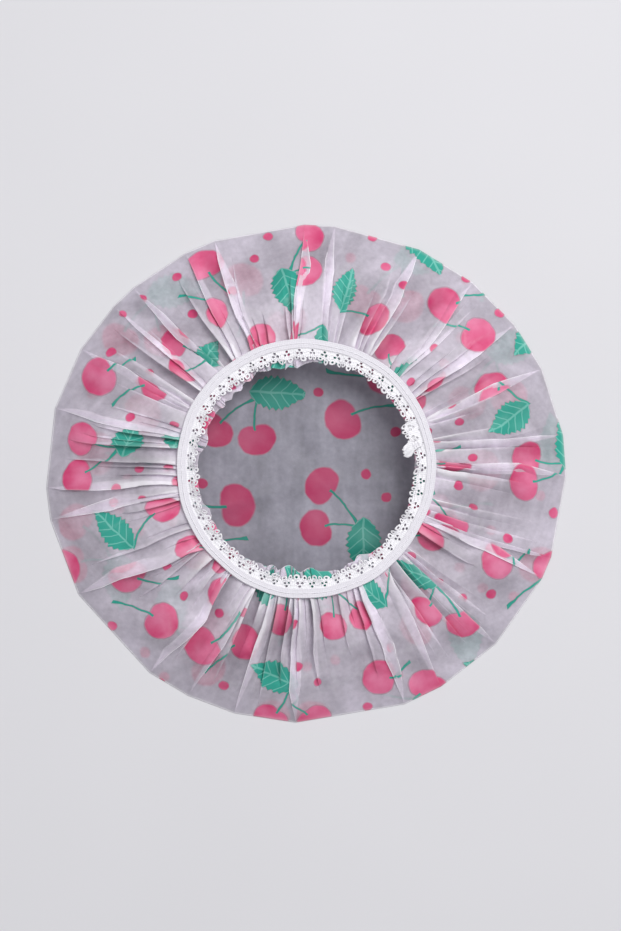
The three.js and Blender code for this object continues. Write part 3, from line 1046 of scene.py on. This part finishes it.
                billow = self.billow * (b + following(a, wrap)) / 2
                parts[5:] = [part + billow * 4 * u * (1 - u) for part, u in zip(parts[5:], outer)]
            rings.append(np.stack(parts, -1).reshape(len(a), -1))
        crease = np.zeros(depth.shape + (PLEAT_POINTS,))
        for k in PLEAT_CREASES:
            crease[..., k] = np.clip(depth / self.creased_depth, 0, 1)
        return (*rings, crease.reshape(len(depth), -1))

    def swell(self, spots: Array) -> Array:
        """Gives the slack film's slow rise and fall.

        Points that are moved or scaled first get another stretch of the same waves.

        Args:
            spots: Points seen from above.

        Returns:
            A value from about -1 to 1 at each point.
        """
        rng = np.random.default_rng(self.seed + 1)
        total = np.zeros(spots.shape[:-1])
        for _ in range(self.swells):
            length, way, phase = rng.uniform(*self.swell_length), rng.uniform(0, TAU), rng.uniform(0, TAU)
            total += np.sin(TAU / length * along(spots, way) + phase)
        return total / 3.2

    def crumple(self, spots: Array) -> Array:
        """Gives the small ridges left by folding the film for its packet.

        Args:
            spots: Points seen from above.

        Returns:
            A value from about -1 to 1 at each point, in patches.
        """
        rng = np.random.default_rng(self.seed + 2)
        total = np.zeros(spots.shape[:-1])
        for _ in range(self.crumples):
            length, way, phase = rng.uniform(*self.crumple_length), rng.uniform(0, TAU), rng.uniform(0, TAU)
            bend = sum(3 * np.sin(spots[..., axis] / rng.uniform(*self.crumple_bend)) for axis in (1, 0))
            run = along(spots, way) + bend
            total += 0.64 - np.abs(np.sin(math.pi / length * run + phase))
        return total * np.clip(0.5 + self.swell(spots * 0.8 + 90), 0, 1) / 1.6

    def facets(self, spots: Array) -> tuple[Array, Array]:
        """Gives the flat facets that slack film breaks into, with a crease between each two.

        Args:
            spots: Points seen from above.

        Returns:
            A height from about -1 to 1, and 1 on a crease falling to 0 beside it.
        """
        rng = np.random.default_rng(self.seed + 3)
        total, ridge = np.zeros(spots.shape[:-1]), np.zeros(spots.shape[:-1])
        for _ in range(self.facet_sets):
            length, way, phase = rng.uniform(*self.facet_length), rng.uniform(0, TAU), rng.uniform(0, 1)
            run = along(spots, way) / length + phase
            away = np.abs((run + 0.5) % 1 - 0.5)
            total += 1 - 4 * away
            ridge = np.maximum(ridge, np.clip(1 - away * length / self.facet_crease, 0, 1))
        return total / 2.2, ridge * np.clip(0.4 + self.swell(spots * 0.7 + 200), 0, 1)

    def broad_folds(self, turn: Array) -> Array:
        """Gives the wide folds that run in from the rim, a crest at each corner and a valley between.

        Args:
            turn: Angles round the cap.

        Returns:
            A height from about -1 to 1 at each angle.
        """
        rng = np.random.default_rng(self.seed + 4)
        count = len(self.corner)
        nodes = np.concatenate([self.corner, self.pleats.low])
        heights = np.concatenate([sign * rng.uniform(*self.broad_height, count) for sign in (1, -1)])
        return np.interp(turn, nodes, heights, period=TAU)

    def slack(self, plane: Array, on_cap: Array, share: Array) -> tuple[Array, Array]:
        """Gives how far the slack film lies off the skirt's line.

        Args:
            plane: The skirt's points seen from above, a row per ring.
            on_cap: Their angles on the cap.
            share: How far in each ring is, as a column.

        Returns:
            The film's rise or fall, and the strength of the creases between its facets.
        """
        ease = np.sin(math.pi * np.clip(share, 0, 1)) ** 1.2
        facet, ridge = self.facets(plane)
        drawn = plane * self.closer
        loose = ease * (self.swell_height * self.swell(drawn) + self.crumple_height * self.crumple(drawn)
                        + self.facet_height * facet)
        loose += between(self.fold_height, share) * self.broad_folds(on_cap[0])
        return loose, ridge * ease

    def skirt(self) -> tuple[Array, ...]:
        """Builds the rows of the skirt from the rim in to the seam.

        Returns:
            Points, flat points, crease whitening with painted crest highlights, depth between the pleats
            as painted shade, and share of the way in, a row per ring.
        """
        share = np.append(self.first_rings, np.linspace(self.even_from, 1.0, self.skirt_rows - 3))
        flat = self.mean_radius + self.skirt_length * share
        plan = self.mean_radius * (1 - share) + self.seam_radius * share
        on_sheet, on_cap, rise, crease = self.fold(
            share, flat, plan, between(self.level_share, share), between(self.pleat_height, share))
        s = share[:, None]
        way = ray(on_cap)
        seam = np.array([0, self.mouth_shift]) + self.seam_radius * way
        plane = way * (self.rim_radius(on_cap) * (1 - s))[..., None] + seam * s[..., None]
        sheet = (self.rim_radius(on_sheet) + self.skirt_length * s)[..., None] * ray(on_sheet)
        floor = self.crown_height + 2 * self.crease_radius
        line = floor + (self.seam_height - floor) * s + self.arch * np.sin(math.pi * s)
        slack, ridge = self.slack(plane, on_cap, s)
        level = line + rise + np.where(slack > 0, self.puff * np.tanh(slack / self.puff), slack)
        pucker = between(self.pucker_height, s) * (1 + 0.5 * np.sin(7 * on_cap + 1))
        level += pucker * np.sin(self.puckers * on_cap + waves(on_cap, self.pucker_stray))
        level = np.maximum(level, floor + self.least_rise * s)
        ceiling = np.minimum(self.seam_height, line + self.head_room)
        above = np.clip(level - ceiling, 0, None)
        level = np.minimum(level, ceiling) + self.proud * np.tanh(above / self.proud)
        points = np.concatenate([plane, level[..., None]], -1)
        soft = between(self.rounding, share)[:, None, None]
        weights = self.rounding_weights
        rounded = sum(np.roll(points, k - len(weights) // 2, 1) * weight
                      for k, weight in enumerate(weights)) / sum(weights)
        points = points * (1 - soft) + rounded * soft
        points[..., 2] = np.minimum(points[..., 2], between(self.lid, share)[:, None])
        beside = self.relief_reach
        around = np.pad(points[..., 2], ((0, 0), (beside, beside)), mode="wrap")
        window = np.full(2 * beside + 1, 1 / (2 * beside + 1))
        mean = np.stack([np.convolve(row, window, "valid") for row in around])
        stand = (points[..., 2] - mean) / self.relief_height * between(self.relief, share)[:, None]
        # Painted highlight: film standing above its neighbours is whitened on its crests. The facet creases
        # are whitened as creases, partly as painted highlight.
        crease = np.maximum(crease * (1 - 0.7 * soft[..., 0]),
                            self.crest_highlight * np.clip(stand, 0, 1) ** 1.4)
        crease = np.maximum(crease, self.facet_white_and_highlight * ridge)
        # Painted shade: film lying below its neighbours, and in the broad folds' valleys, is darkened.
        hollow = np.maximum(np.clip(-stand, 0, 1),
                            self.hollow_dark * np.clip(-slack / self.hollow_depth, 0, 1))
        return points, sheet, crease, hollow, np.broadcast_to(s, crease.shape)

    def frill(self) -> tuple[Array, ...]:
        """Builds the rows of the raw edge from the seam in to its end under the lace.

        Returns:
            Points, flat points and crease strength, a row per ring.
        """
        out = np.append(np.linspace(0, 0.96, self.frill_rows)[1:], 1.0)
        flat = self.mean_radius + self.skirt_length + self.frill_length * out
        plan = self.seam_radius - self.frill_length * out
        on_sheet, on_cap, rise, crease = self.fold(
            np.ones_like(out), flat, plan, between(self.frill_level_share, out),
            between(self.frill_height, out))
        turn = on_cap[-1]
        shown = np.zeros_like(turn)
        for centre, spread, much in self.frill_shown:
            shown = np.maximum(shown, much * np.exp(-(apart(turn, centre) / spread) ** 2))
        lobe = np.abs(np.sin(self.frill_lobes * turn + waves(turn, self.frill_stray)))
        hidden, more = self.frill_reach
        lobe_hidden, lobe_more = self.frill_lobe_reach
        reach = hidden + more * shown + (lobe_hidden + lobe_more * shown) * lobe
        inward = self.frill_length * out[:, None] * reach
        plane = np.array([0, self.mouth_shift]) + (self.seam_radius - inward)[..., None] * ray(on_cap)
        sheet = (self.rim_radius(on_sheet) + self.skirt_length + inward)[..., None] * ray(on_sheet)
        level = np.minimum(self.seam_height - self.frill_droop * out[:, None] + rise, self.frill_top)
        crease = self.frill_crease * crease
        crease[-1] = self.raw_edge_white
        return np.concatenate([plane, level[..., None]], -1), sheet, crease

    def crown(self, angle: Array) -> tuple[list[Array], list[int]]:
        """Builds the crown's rings from the rim to the middle, each with fewer points where it can.

        Args:
            angle: The angles of the rim's points.

        Returns:
            The rings' points and how many points of the ring before share one of each.
        """
        rings, strides = [], []
        thinner = dict(self.crown_thinner)
        for k, scale in enumerate((*self.crown_edge, *np.arange(*self.crown_even))):
            stride = thinner.get(k, 1)
            angle = angle[::stride]
            spots = (scale * self.rim_radius(angle))[:, None] * ray(angle)
            calm = min(1.0, (1 - scale) * 6)
            ridges = np.clip(0.2 + self.crumple(spots + 60), 0, None)
            rise = np.clip(self.swell(spots * 1.3 + 40), 0, None)
            level = self.crown_height + calm * (self.crown_rise * rise + self.crown_rise * ridges)
            rings.append(np.concatenate([spots, level[:, None]], -1))
            strides.append(stride)
        return rings, strides

    def mark_folds(self, mesh: Mesh, columns: int, low: int, high: int) -> None:
        """Marks the edges along the pleats' folds as sharp.

        Args:
            mesh: The sheet's mesh.
            columns: How many points a ring has.
            low: The ring after which folds are sharp.
            high: The ring at which they end.
        """
        ends = np.zeros(len(mesh.edges) * 2, np.int32)
        mesh.edges.foreach_get("vertices", ends)
        ends = ends.reshape(-1, 2)
        column = ends % columns
        inward = (column[:, 0] == column[:, 1]) & (ends.max(1) < high * columns)
        inward &= ends.min(1) > low * columns
        sharp = mesh.attributes.new("sharp_edge", "BOOLEAN", "EDGE")
        sharp.data.foreach_set("value", inward & np.isin(column[:, 0] % PLEAT_POINTS, PLEAT_CREASES))

    def build(self) -> Object:
        """Builds the sheet and paints its attributes.

        Returns:
            The new piece.
        """
        skirt, skirt_flat, skirt_crease, skirt_hollow, skirt_gather = self.skirt()
        frill, frill_flat, frill_crease = self.frill()
        columns, top = skirt.shape[1], len(frill) + len(skirt)
        angle = np.arctan2(skirt[0, :, 1], skirt[0, :, 0])
        outward = np.pad(ray(angle), ((0, 0), (0, 1)))
        turn_over = skirt[0] + outward * self.crease_radius - [0, 0, self.crease_radius]
        crown_edge = skirt[0] - [0, 0, 2 * self.crease_radius]
        rings, strides = self.crown(angle)
        rows = [*frill[::-1], *skirt[::-1], turn_over, crown_edge, *rings]
        flats = [*frill_flat[::-1], *skirt_flat[::-1], *[row[:, :2] for row in rows[top:]]]
        layers = {name: [np.zeros(len(row)) for row in rows]
                  for name in ("crease", "hollow", "gather", "skirt_share")}
        layers["crease"][:top] = [*frill_crease[::-1], *skirt_crease[::-1]]
        # The rim's turn-over is whitened as a crease, partly as painted highlight.
        for k, strength in enumerate(self.rim_creases):
            layers["crease"][top - 3 + k] = np.full(columns, strength)
        layers["hollow"][len(frill):top] = skirt_hollow[::-1]
        layers["gather"][len(frill):top] = skirt_gather[::-1]
        layers["skirt_share"][:top + 1] = [*np.ones((top, columns)), np.full(columns, 0.5)]
        begins = np.cumsum([0] + [len(row) for row in rows])
        faces = []
        for k, stride in enumerate([1] * (top + 1) + strides):
            here, there, size = begins[k], begins[k + 1], len(rows[k + 1])
            for j in range(size):
                outer = [here + (j * stride + m) % len(rows[k]) for m in range(stride + 1)]
                faces.append([*outer, there + (j + 1) % size, there + j])
        faces.append(list(range(begins[-2], begins[-1])))
        piece = new_piece("film_sheet", (np.concatenate(rows), faces), self.finish.material())
        mesh = piece.data
        for name, values in layers.items():
            layer = mesh.attributes.new(name, "FLOAT", "POINT")
            layer.data.foreach_set("value", np.concatenate(values).astype(np.float32))
        self.mark_folds(mesh, columns, len(frill) + self.skirt_rows * 3 // 10, top)
        picks = np.zeros(len(mesh.loops), np.int32)
        mesh.loops.foreach_get("vertex_index", picks)
        chart = mesh.uv_layers.new(name="flat_sheet")
        spread = np.concatenate(flats)[picks] / self.finish.sheet + 0.5
        chart.data.foreach_set("uv", spread.astype(np.float32).ravel())
        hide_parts("crown_film", "skirt_film", "hem_frill")
        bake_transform(piece)
        return piece


@dataclass
class LaceElastic:
    """The woven elastic band, its lace edging, its stitches and the join of its ends."""

    mouth_shift: float = 3.0
    outer: float = 68.5
    inner: float = 63.5
    seam: float = 66.0
    segments: int = 360
    # The band's two plies, the lips at the face's edges, and the crosswise puckers of slack elastic.
    back_low: float = 24.3
    back_high: float = 24.65
    back_steps: int = 13
    face_low: float = 25.35
    face_high: float = 25.7
    lip_low: float = 24.95
    lip_width: float = 0.45
    lip_root: float = 0.5
    shoulder: float = 0.18
    rib_height: float = 0.09
    ribs: int = 5
    face_pucker: float = 0.05
    back_pucker: float = 0.03
    stray_out: Triples = ((0.35, 3, 0.4), (0.22, 7, 2.0), (0.12, 17, 0.0))
    stray_up: Triples = ((0.12, 5, 1.0), (0.08, 11, 0.0))
    # The lace as a straight strip, by distance in from its outer edge, and how its free part ripples.
    lace_outer: float = 64.5
    lace_radius: float = 60.5
    lace_level: float = 25.0
    lace_half: float = 0.22
    sewn_width: float = 1.6
    repeats: int = 58
    eyelets: Table = ((0.0, 2.0), (-1.0, 3.55), (1.0, 3.55))
    eyelet_radius: float = 0.64
    eyelet_cord: Pair = (0.82, 0.19)
    ground_depth: float = 5.25
    ground_steps: int = 7
    ground_wave: float = 0.35
    # Picots and edge loops: share of the repeat along, distance in, radius and half the cord.
    picots: tuple[tuple[float, float, float, float], ...] = (
        (-0.25, 6.45, 0.98, 0.46), (0.25, 6.2, 0.92, 0.45), (-0.5, 4.9, 0.6, 0.26), (0.0, 5.3, 0.5, 0.26))
    ring_level: float = 0.2
    ring_points: int = 12
    ring_sides: int = 6
    # Cords that run round: distance in and swing, then half their width and height.
    cords: Table = ((0.5, 0.12), (1.05, 0.15), (2.8, 0.3), (4.6, 0.25))
    cord_half: Pair = (0.24, 0.2)
    cord_level: float = 0.3
    cord_sides: int = 5
    # The lace's free part: the depth at which it ripples fully, and where it stands up.
    loose_depth: float = 7.5
    loose_most: float = 1.3
    sewn_lift: float = 0.05
    stand_angle: float = 0.5
    stand_turn: float = math.pi
    stand_spread: float = 0.7
    lace_sway: Triples = ((0.8, 23, 0.3), (0.55, 47, 1.1))
    lace_pull: Triples = ((0.6, 13, 0.7), (0.5, 31, 0.0), (0.3, 57, 2.0))
    lace_lift: Triples = ((1.2, 29, 0.0), (0.7, 17, 1.3), (0.5, 43, 0.5))
    # The seam and the join: the lace's overlap, the folded end's root, rise and lean, and its zigzag.
    stitches: int = 144
    stitch_swing: float = 0.06
    thread_radius: float = 0.19
    thread_sides: int = 7
    overlap_turns: Pair = (5.0, 11.0)
    overlap_in: float = 1.7
    overlap_up: float = 0.75
    join_turn: float = 10.0
    tab_turn: float = 2.6
    tab_root: float = 62.4
    tab_level: float = 26.2
    tab_rise: float = 0.9
    tab_arch: float = 1.1
    tab_lean: float = 3.4
    tab_thick: float = 0.55
    tab_length: float = 10.4
    tack_start: float = 57.4
    tack_length: float = 4.0
    tack_level: float = 26.45
    tack_half: float = 1.4
    tack_radius: float = 0.2
    yarn: WovenYarn = field(default_factory=WovenYarn)
    knit: WovenYarn = WovenYarn("knitted_lace", "fbfafc", "ebe8f0", 1.1, 0.15, 0.8)
    thread: SpunThread = SpunThread("spun_thread", "f6f4f8", "e4e1e9", 0.35, 0.6)
    rubber: SpunThread = SpunThread("covered_rubber", "e6e1d8", "b9b2a6", 0.3, 0.65)

    def on_ring(self, turn: Array, radius: Array, level: Array) -> Array:
        """Places points on the band, which strays a little from a true ring.

        Args:
            turn: Angles round the mouth.
            radius: Distances from its middle.
            level: Heights.

        Returns:
            The points.
        """
        reach = radius + waves(turn, self.stray_out)
        x, y = reach * np.cos(turn), self.mouth_shift + reach * np.sin(turn)
        return np.stack([x, y, level + waves(turn, self.stray_up)], -1)

    def band(self, section: Array, pucker: float) -> Skin:
        """Sweeps a section round the mouth, puckered as slack elastic is.

        Args:
            section: Radius and height of each of its points.
            pucker: How far the crosswise puckers rise.

        Returns:
            The band's points and faces.
        """
        turn = np.linspace(0, TAU, self.segments, endpoint=False)[:, None]
        wave = pucker * np.sin(turn * self.segments / 5) * (1 + 0.4 * np.sin(9 * turn))
        top = section[:, 1] > section[:, 1].mean()
        turns, radius = np.broadcast_arrays(turn, section[:, 0])
        points = self.on_ring(turns, radius, section[:, 1] + wave * top)
        return points.reshape(-1, 3), loops_to_faces(self.segments, len(section), True)

    def face(self) -> Skin:
        """Builds the ribbed face of the band, with a lip turned down at each edge.

        Returns:
            Its points and faces.
        """
        count = self.ribs * 6 + 1
        across = np.linspace(self.outer, self.inner, count)
        share = np.linspace(0, 1, count)
        ridge = self.rib_height * 0.5 * (1 - np.cos(TAU * self.ribs * share))
        shoulder = self.shoulder * np.clip(1 - np.minimum(share, 1 - share) * 14, 0, 1)
        top = np.stack([across, self.face_high + ridge - shoulder], -1)
        under = [(self.inner, self.lip_low), (self.inner + self.lip_width, self.lip_low),
                 (self.inner + self.lip_root, self.face_low), (self.outer - self.lip_root, self.face_low),
                 (self.outer - self.lip_width, self.lip_low), (self.outer, self.lip_low)]
        return self.band(np.concatenate([top, np.array(under)]), self.face_pucker)

    def back(self) -> Skin:
        """Builds the plain back of the band.

        Returns:
            Its points and faces.
        """
        across = np.linspace(self.outer, self.inner, self.back_steps)
        top = np.stack([across, np.full_like(across, self.back_high)], -1)
        low = np.stack([across[::-1], np.full_like(across, self.back_low)], -1)
        return self.band(np.concatenate([top, low]), self.back_pucker)

    def place_lace(self, strip: Array) -> Array:
        """Bends lace from a straight strip round the mouth, rippled where it is free.

        Args:
            strip: Points as turn, distance in from the outer edge, and height.

        Returns:
            The points on the cap.
        """
        turn, depth, level = strip.T
        loose = np.clip(depth / self.loose_depth, 0, self.loose_most) ** 1.4
        sway, pull, lift = (loose * waves(turn, parts)
                            for parts in (self.lace_sway, self.lace_pull, self.lace_lift))
        lift = np.where(depth < self.sewn_width, np.clip(lift, -self.sewn_lift, self.sewn_lift), lift)
        tilt = self.stand_angle * np.exp(-((turn % TAU - self.stand_turn) / self.stand_spread) ** 2)
        free = np.clip(depth - self.sewn_width, 0, None)
        across = np.minimum(depth, self.sewn_width) + free * np.cos(tilt)
        return self.on_ring(turn + sway / self.seam, self.lace_outer - across + pull,
                            self.lace_level + level + lift + free * np.sin(tilt))

    def lace_ground(self, pitch: float) -> Skin:
        """Cuts one repeat of the lace's ground, with three eyelets.

        Args:
            pitch: The repeat's width.

        Returns:
            Flat points of one repeat and its faces.
        """
        side = [self.ground_depth / self.ground_steps * k for k in range(self.ground_steps + 1)]
        rim = [(-0.5 * pitch, d) for d in side]
        rim += [(x * pitch, self.ground_depth + self.ground_wave * math.cos(TAU * 2 * x))
                for x in (k / 10 for k in range(-4, 5))]
        rim += [(0.5 * pitch, d) for d in side[::-1]] + [(x * pitch, 0.0) for x in (0.25, 0.0, -0.25)]
        size = self.eyelet_radius
        loops = [rim]
        for x, d in self.eyelets:
            loops.append([(x + size * math.cos(a), d + size * math.sin(a)) for a in np.arange(10) * TAU / 10])
        spots, edges = [], []
        for loop in loops:
            base = len(spots)
            spots += [Vector(s) for s in loop]
            edges += [(base + k, base + (k + 1) % len(loop)) for k in range(len(loop))]
        found = delaunay_2d_cdt(spots, edges, [], 1, 1e-5)
        flat = np.array([tuple(v) for v in found[0]])
        faces = []
        for face in found[2]:
            middle = flat[list(face)].mean(0)
            if all(math.dist(middle, eyelet) > size * 0.98 for eyelet in self.eyelets):
                faces.append(list(face))
        return flat, faces

    def lace(self) -> Skin:
        """Knits the lace: a ground with eyelets, corded rings round them and picot loops.

        Returns:
            Its points and faces.
        """
        pitch = TAU * self.lace_radius / self.repeats
        flat, ground = self.lace_ground(pitch)
        rings = [(x, d, *self.eyelet_cord) for x, d in self.eyelets]
        rings += [(share * pitch, *sizes) for share, *sizes in self.picots]
        # Each repeat's turn, and how far in and up it is moved: two more lie over the join.
        places = [(TAU * k / self.repeats, 0.0, 0.0) for k in range(self.repeats)]
        places += [(math.radians(self.join_turn + k), self.overlap_in, self.overlap_up)
                   for k in self.overlap_turns]
        parts: list[Skin] = []
        a = np.arange(self.ring_points) * TAU / self.ring_points
        for middle, further, higher in places:
            for level, flip in ((self.lace_half, 1), (-self.lace_half, -1)):
                strip = np.column_stack([middle + flat[:, 0] / self.lace_radius, flat[:, 1] + further,
                                         np.full(len(flat), level + higher)])
                parts.append((strip, [face[::flip] for face in ground]))
            for x, d, size, cord in rings:
                path = np.column_stack([x + size * np.cos(a), d + size * np.sin(a),
                                        np.full(self.ring_points, self.ring_level)])
                tube, faces = thread_tube(path, cord, self.ring_sides, True)
                tube += [0.0, further, higher]
                tube[:, 0] = middle + tube[:, 0] / self.lace_radius
                parts.append((tube, faces))
        turn = np.linspace(0, TAU, self.repeats * 8, endpoint=False)[:, None]
        a = np.arange(self.cord_sides) * TAU / self.cord_sides
        for depth, swing in self.cords:
            line = depth + swing * np.sin(turn * self.repeats * 2)
            strip = np.stack(np.broadcast_arrays(turn, line + self.cord_half[0] * np.cos(a),
                                                 self.cord_level + self.cord_half[1] * np.sin(a)), -1)
            parts.append((strip.reshape(-1, 3), loops_to_faces(len(turn), self.cord_sides, True)))
        strip, faces = join(parts)
        return self.place_lace(strip), faces

    def seam_row(self, edge: Edge) -> Skin:
        """Sews a row of lockstitches round the band.

        Args:
            edge: The side that it shows on.

        Returns:
            The thread's points and faces.
        """
        turn = np.linspace(0, TAU, self.stitches * 10, endpoint=False)
        swell = np.abs(np.sin(turn * self.stitches / 2)) ** 0.5
        low, high = edge.value
        path = self.on_ring(turn, self.seam + self.stitch_swing * np.sin(turn * self.stitches),
                            low + (high - low) * swell)
        return thread_tube(path, self.thread_radius, self.thread_sides, True)

    def on_join(self, inward: Array, side: Array, level: Array) -> Array:
        """Places points at the join of the band's ends.

        Args:
            inward: Distances from the mouth's middle along the folded end.
            side: Distances across it.
            level: Heights.

        Returns:
            The points.
        """
        turn = math.radians(self.join_turn + self.tab_turn)
        x = inward * math.cos(turn) - side * math.sin(turn)
        y = self.mouth_shift + inward * math.sin(turn) + side * math.cos(turn)
        return np.stack([x, y, level], -1)

    def tab(self) -> Skin:
        """Folds the band's end in over the lace as a short curled tab.

        Returns:
            Its points and faces.
        """
        u, v = np.meshgrid(np.linspace(0, 1, 22), np.linspace(-1, 1, 15), indexing="ij")
        broad = np.clip((u - 0.3) / 0.4, 0, 1) ** 2
        tip = np.clip((u - 0.84) / 0.16, 0, 1) ** 2
        root_half, widening, scallop, taper = 1.9, 1.6, 0.4, 1.5
        half = root_half + (widening + scallop * np.abs(np.sin(u * 7.5))) * broad - taper * tip
        short, lobe = 9.4, 1.5
        length = short + lobe * np.abs(np.cos(v * math.pi * 1.5)) ** 0.7 * broad
        curl = self.tab_arch * np.sin(math.pi * u) * (1 - 0.4 * v ** 2)
        level = self.tab_level + self.tab_rise * u + curl + 0.5 * np.sin(4.5 * v + 3 * u) * broad
        side = v * half - self.tab_lean * u ** 1.4
        thick = self.tab_thick * np.sqrt(np.clip(1.02 - v ** 6, 0, 1))
        shells = [self.on_join(self.tab_root - length * u, side, height).reshape(-1, 3)
                  for height in (level, level - thick)]
        rows, columns = u.shape
        below = rows * columns
        faces = []
        for i in range(rows - 1):
            for j in range(columns - 1):
                here, after = i * columns + j, (i + 1) * columns + j
                faces.append([here, after, after + 1, here + 1])
                faces.append([k + below for k in (here + 1, after + 1, after, here)])
        border = [*range(columns)] + [i * columns + columns - 1 for i in range(1, rows)]
        border += [(rows - 1) * columns + j for j in range(columns - 2, -1, -1)]
        border += [i * columns for i in range(rows - 2, 0, -1)]
        for here, after in zip(border, border[1:] + border[:1]):
            faces.append([here, after, after + below, here + below])
        return np.concatenate(shells), faces

    def tack(self) -> Skin:
        """Sews the zigzag that holds the folded end.

        Returns:
            Its points and faces.
        """
        steps = np.linspace(0, 1, 49)
        inward = self.tack_start + self.tack_length * steps
        share = (self.tab_root - inward) / self.tab_length
        zigzag = self.tack_half * (2 / math.pi) * np.arcsin(np.sin(steps * TAU * 3))
        level = self.tack_level + self.tab_rise * share + self.tab_arch * np.sin(math.pi * share)
        path = self.on_join(inward, zigzag - self.tab_lean * share ** 1.4, level)
        return thread_tube(path, self.tack_radius, self.thread_sides, False)

    def build(self, nodes: dict[str, Object]) -> list[Object]:
        """Builds the band's pieces and finishes the rubber that stays inside it.

        Args:
            nodes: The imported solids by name.

        Returns:
            The new pieces.
        """
        yarn, knit, thread, rubber = (
            finish.material() for finish in (self.yarn, self.knit, self.thread, self.rubber))
        for name, node in nodes.items():
            if name.startswith("rubber_core"):
                node.data.materials.clear()
                node.data.materials.append(rubber)
        pieces = []
        for name, skin, finish, node, slot in (
                ("elastic_band_face", self.face(), yarn, "elastic_face", "web"),
                ("elastic_band_back", self.back(), yarn, "elastic_back", "web"),
                ("lace_trim", self.lace(), knit, "lace_edging", "lace"),
                ("folded_end", self.tab(), knit, "end_tab", "lace"),
                ("end_tack", self.tack(), thread, "bar_tack", "thread"),
                ("needle_stitches", self.seam_row(Edge.ABOVE), thread, "needle_thread", "thread"),
                ("bobbin_stitches", self.seam_row(Edge.BELOW), thread, "bobbin_thread", "thread")):
            piece = new_piece(name, skin, finish)
            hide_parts(node)
            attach(piece, "mouth")
            pieces.append(piece)
        return pieces


@dataclass(frozen=True)
class Lamp:
    """A square soft lamp that looks at the cap, placed in metres."""

    name: str
    spot: tuple[float, float, float]
    power: float
    size: float

    def build(self) -> None:
        """Hangs the lamp."""
        light = bpy.data.lights.new(self.name, "AREA")
        light.energy, light.size = self.power, self.size
        holder = bpy.data.objects.new(self.name, light)
        holder.location = self.spot
        holder.rotation_euler = (-Vector(self.spot)).to_track_quat("-Z", "Y").to_euler()
        bpy.context.scene.collection.objects.link(holder)


@dataclass
class Studio:
    """A pale board, soft light from the upper right and a camera that looks straight down."""

    scale: float = 0.5375
    lens: float = 85.0
    middle: Pair = (306.0, 473.7)
    focus_height: float = 4.0
    floor_size: float = 60.0
    room: str = "f1f2f7"
    room_light: float = 0.36
    lamps: tuple[Lamp, ...] = (Lamp("key", (0.82, 0.92, 1.97), 41.0, 1.3),
                               Lamp("fill", (-0.9, -0.5, 1.2), 2.5, 1.2))
    board: PaleFloor = field(default_factory=PaleFloor)

    def build(self) -> None:
        """Builds the floor, the light and the camera."""
        scene = bpy.context.scene
        bpy.ops.mesh.primitive_grid_add(x_subdivisions=8, y_subdivisions=8, size=self.floor_size)
        floor = bpy.context.object
        floor.name = "board"
        floor.data.materials.append(self.board.material())
        scene.world = bpy.data.worlds.new("soft_room")
        tree = empty_tree(scene.world)
        lit = add(tree, "Background", linear(self.room), self.room_light)
        pale = add(tree, "Background", linear(self.board.far), 1.0)
        add(tree, "OutputWorld", add(tree, "MixShader", seen_rays(tree), lit, pale))
        for lamp in self.lamps:
            lamp.build()
        eye = bpy.data.cameras.new("eye")
        eye.lens = self.lens
        holder = bpy.data.objects.new("eye", eye)
        away = PHOTO_SIZE[1] * self.scale * self.lens / eye.sensor_width
        offset_x = (PHOTO_SIZE[0] / 2 - self.middle[0]) * self.scale
        offset_y = (self.middle[1] - PHOTO_SIZE[1] / 2) * self.scale
        holder.location = (offset_x * MM, offset_y * MM, (away + self.focus_height) * MM)
        scene.collection.objects.link(holder)
        scene.camera = holder
        scene.view_settings.view_transform = "Standard"
        scene.cycles.transparent_max_bounces = 40


def main() -> None:
    """Builds the cap in order."""
    logging.basicConfig(level=logging.INFO, format="%(name)s %(message)s")
    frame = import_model()
    Studio().build()
    film = FilmSheet()
    sheet = film.build()
    pieces = LaceElastic().build(frame["nodes"])
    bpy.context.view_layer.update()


if __name__ == "__main__":
    main()
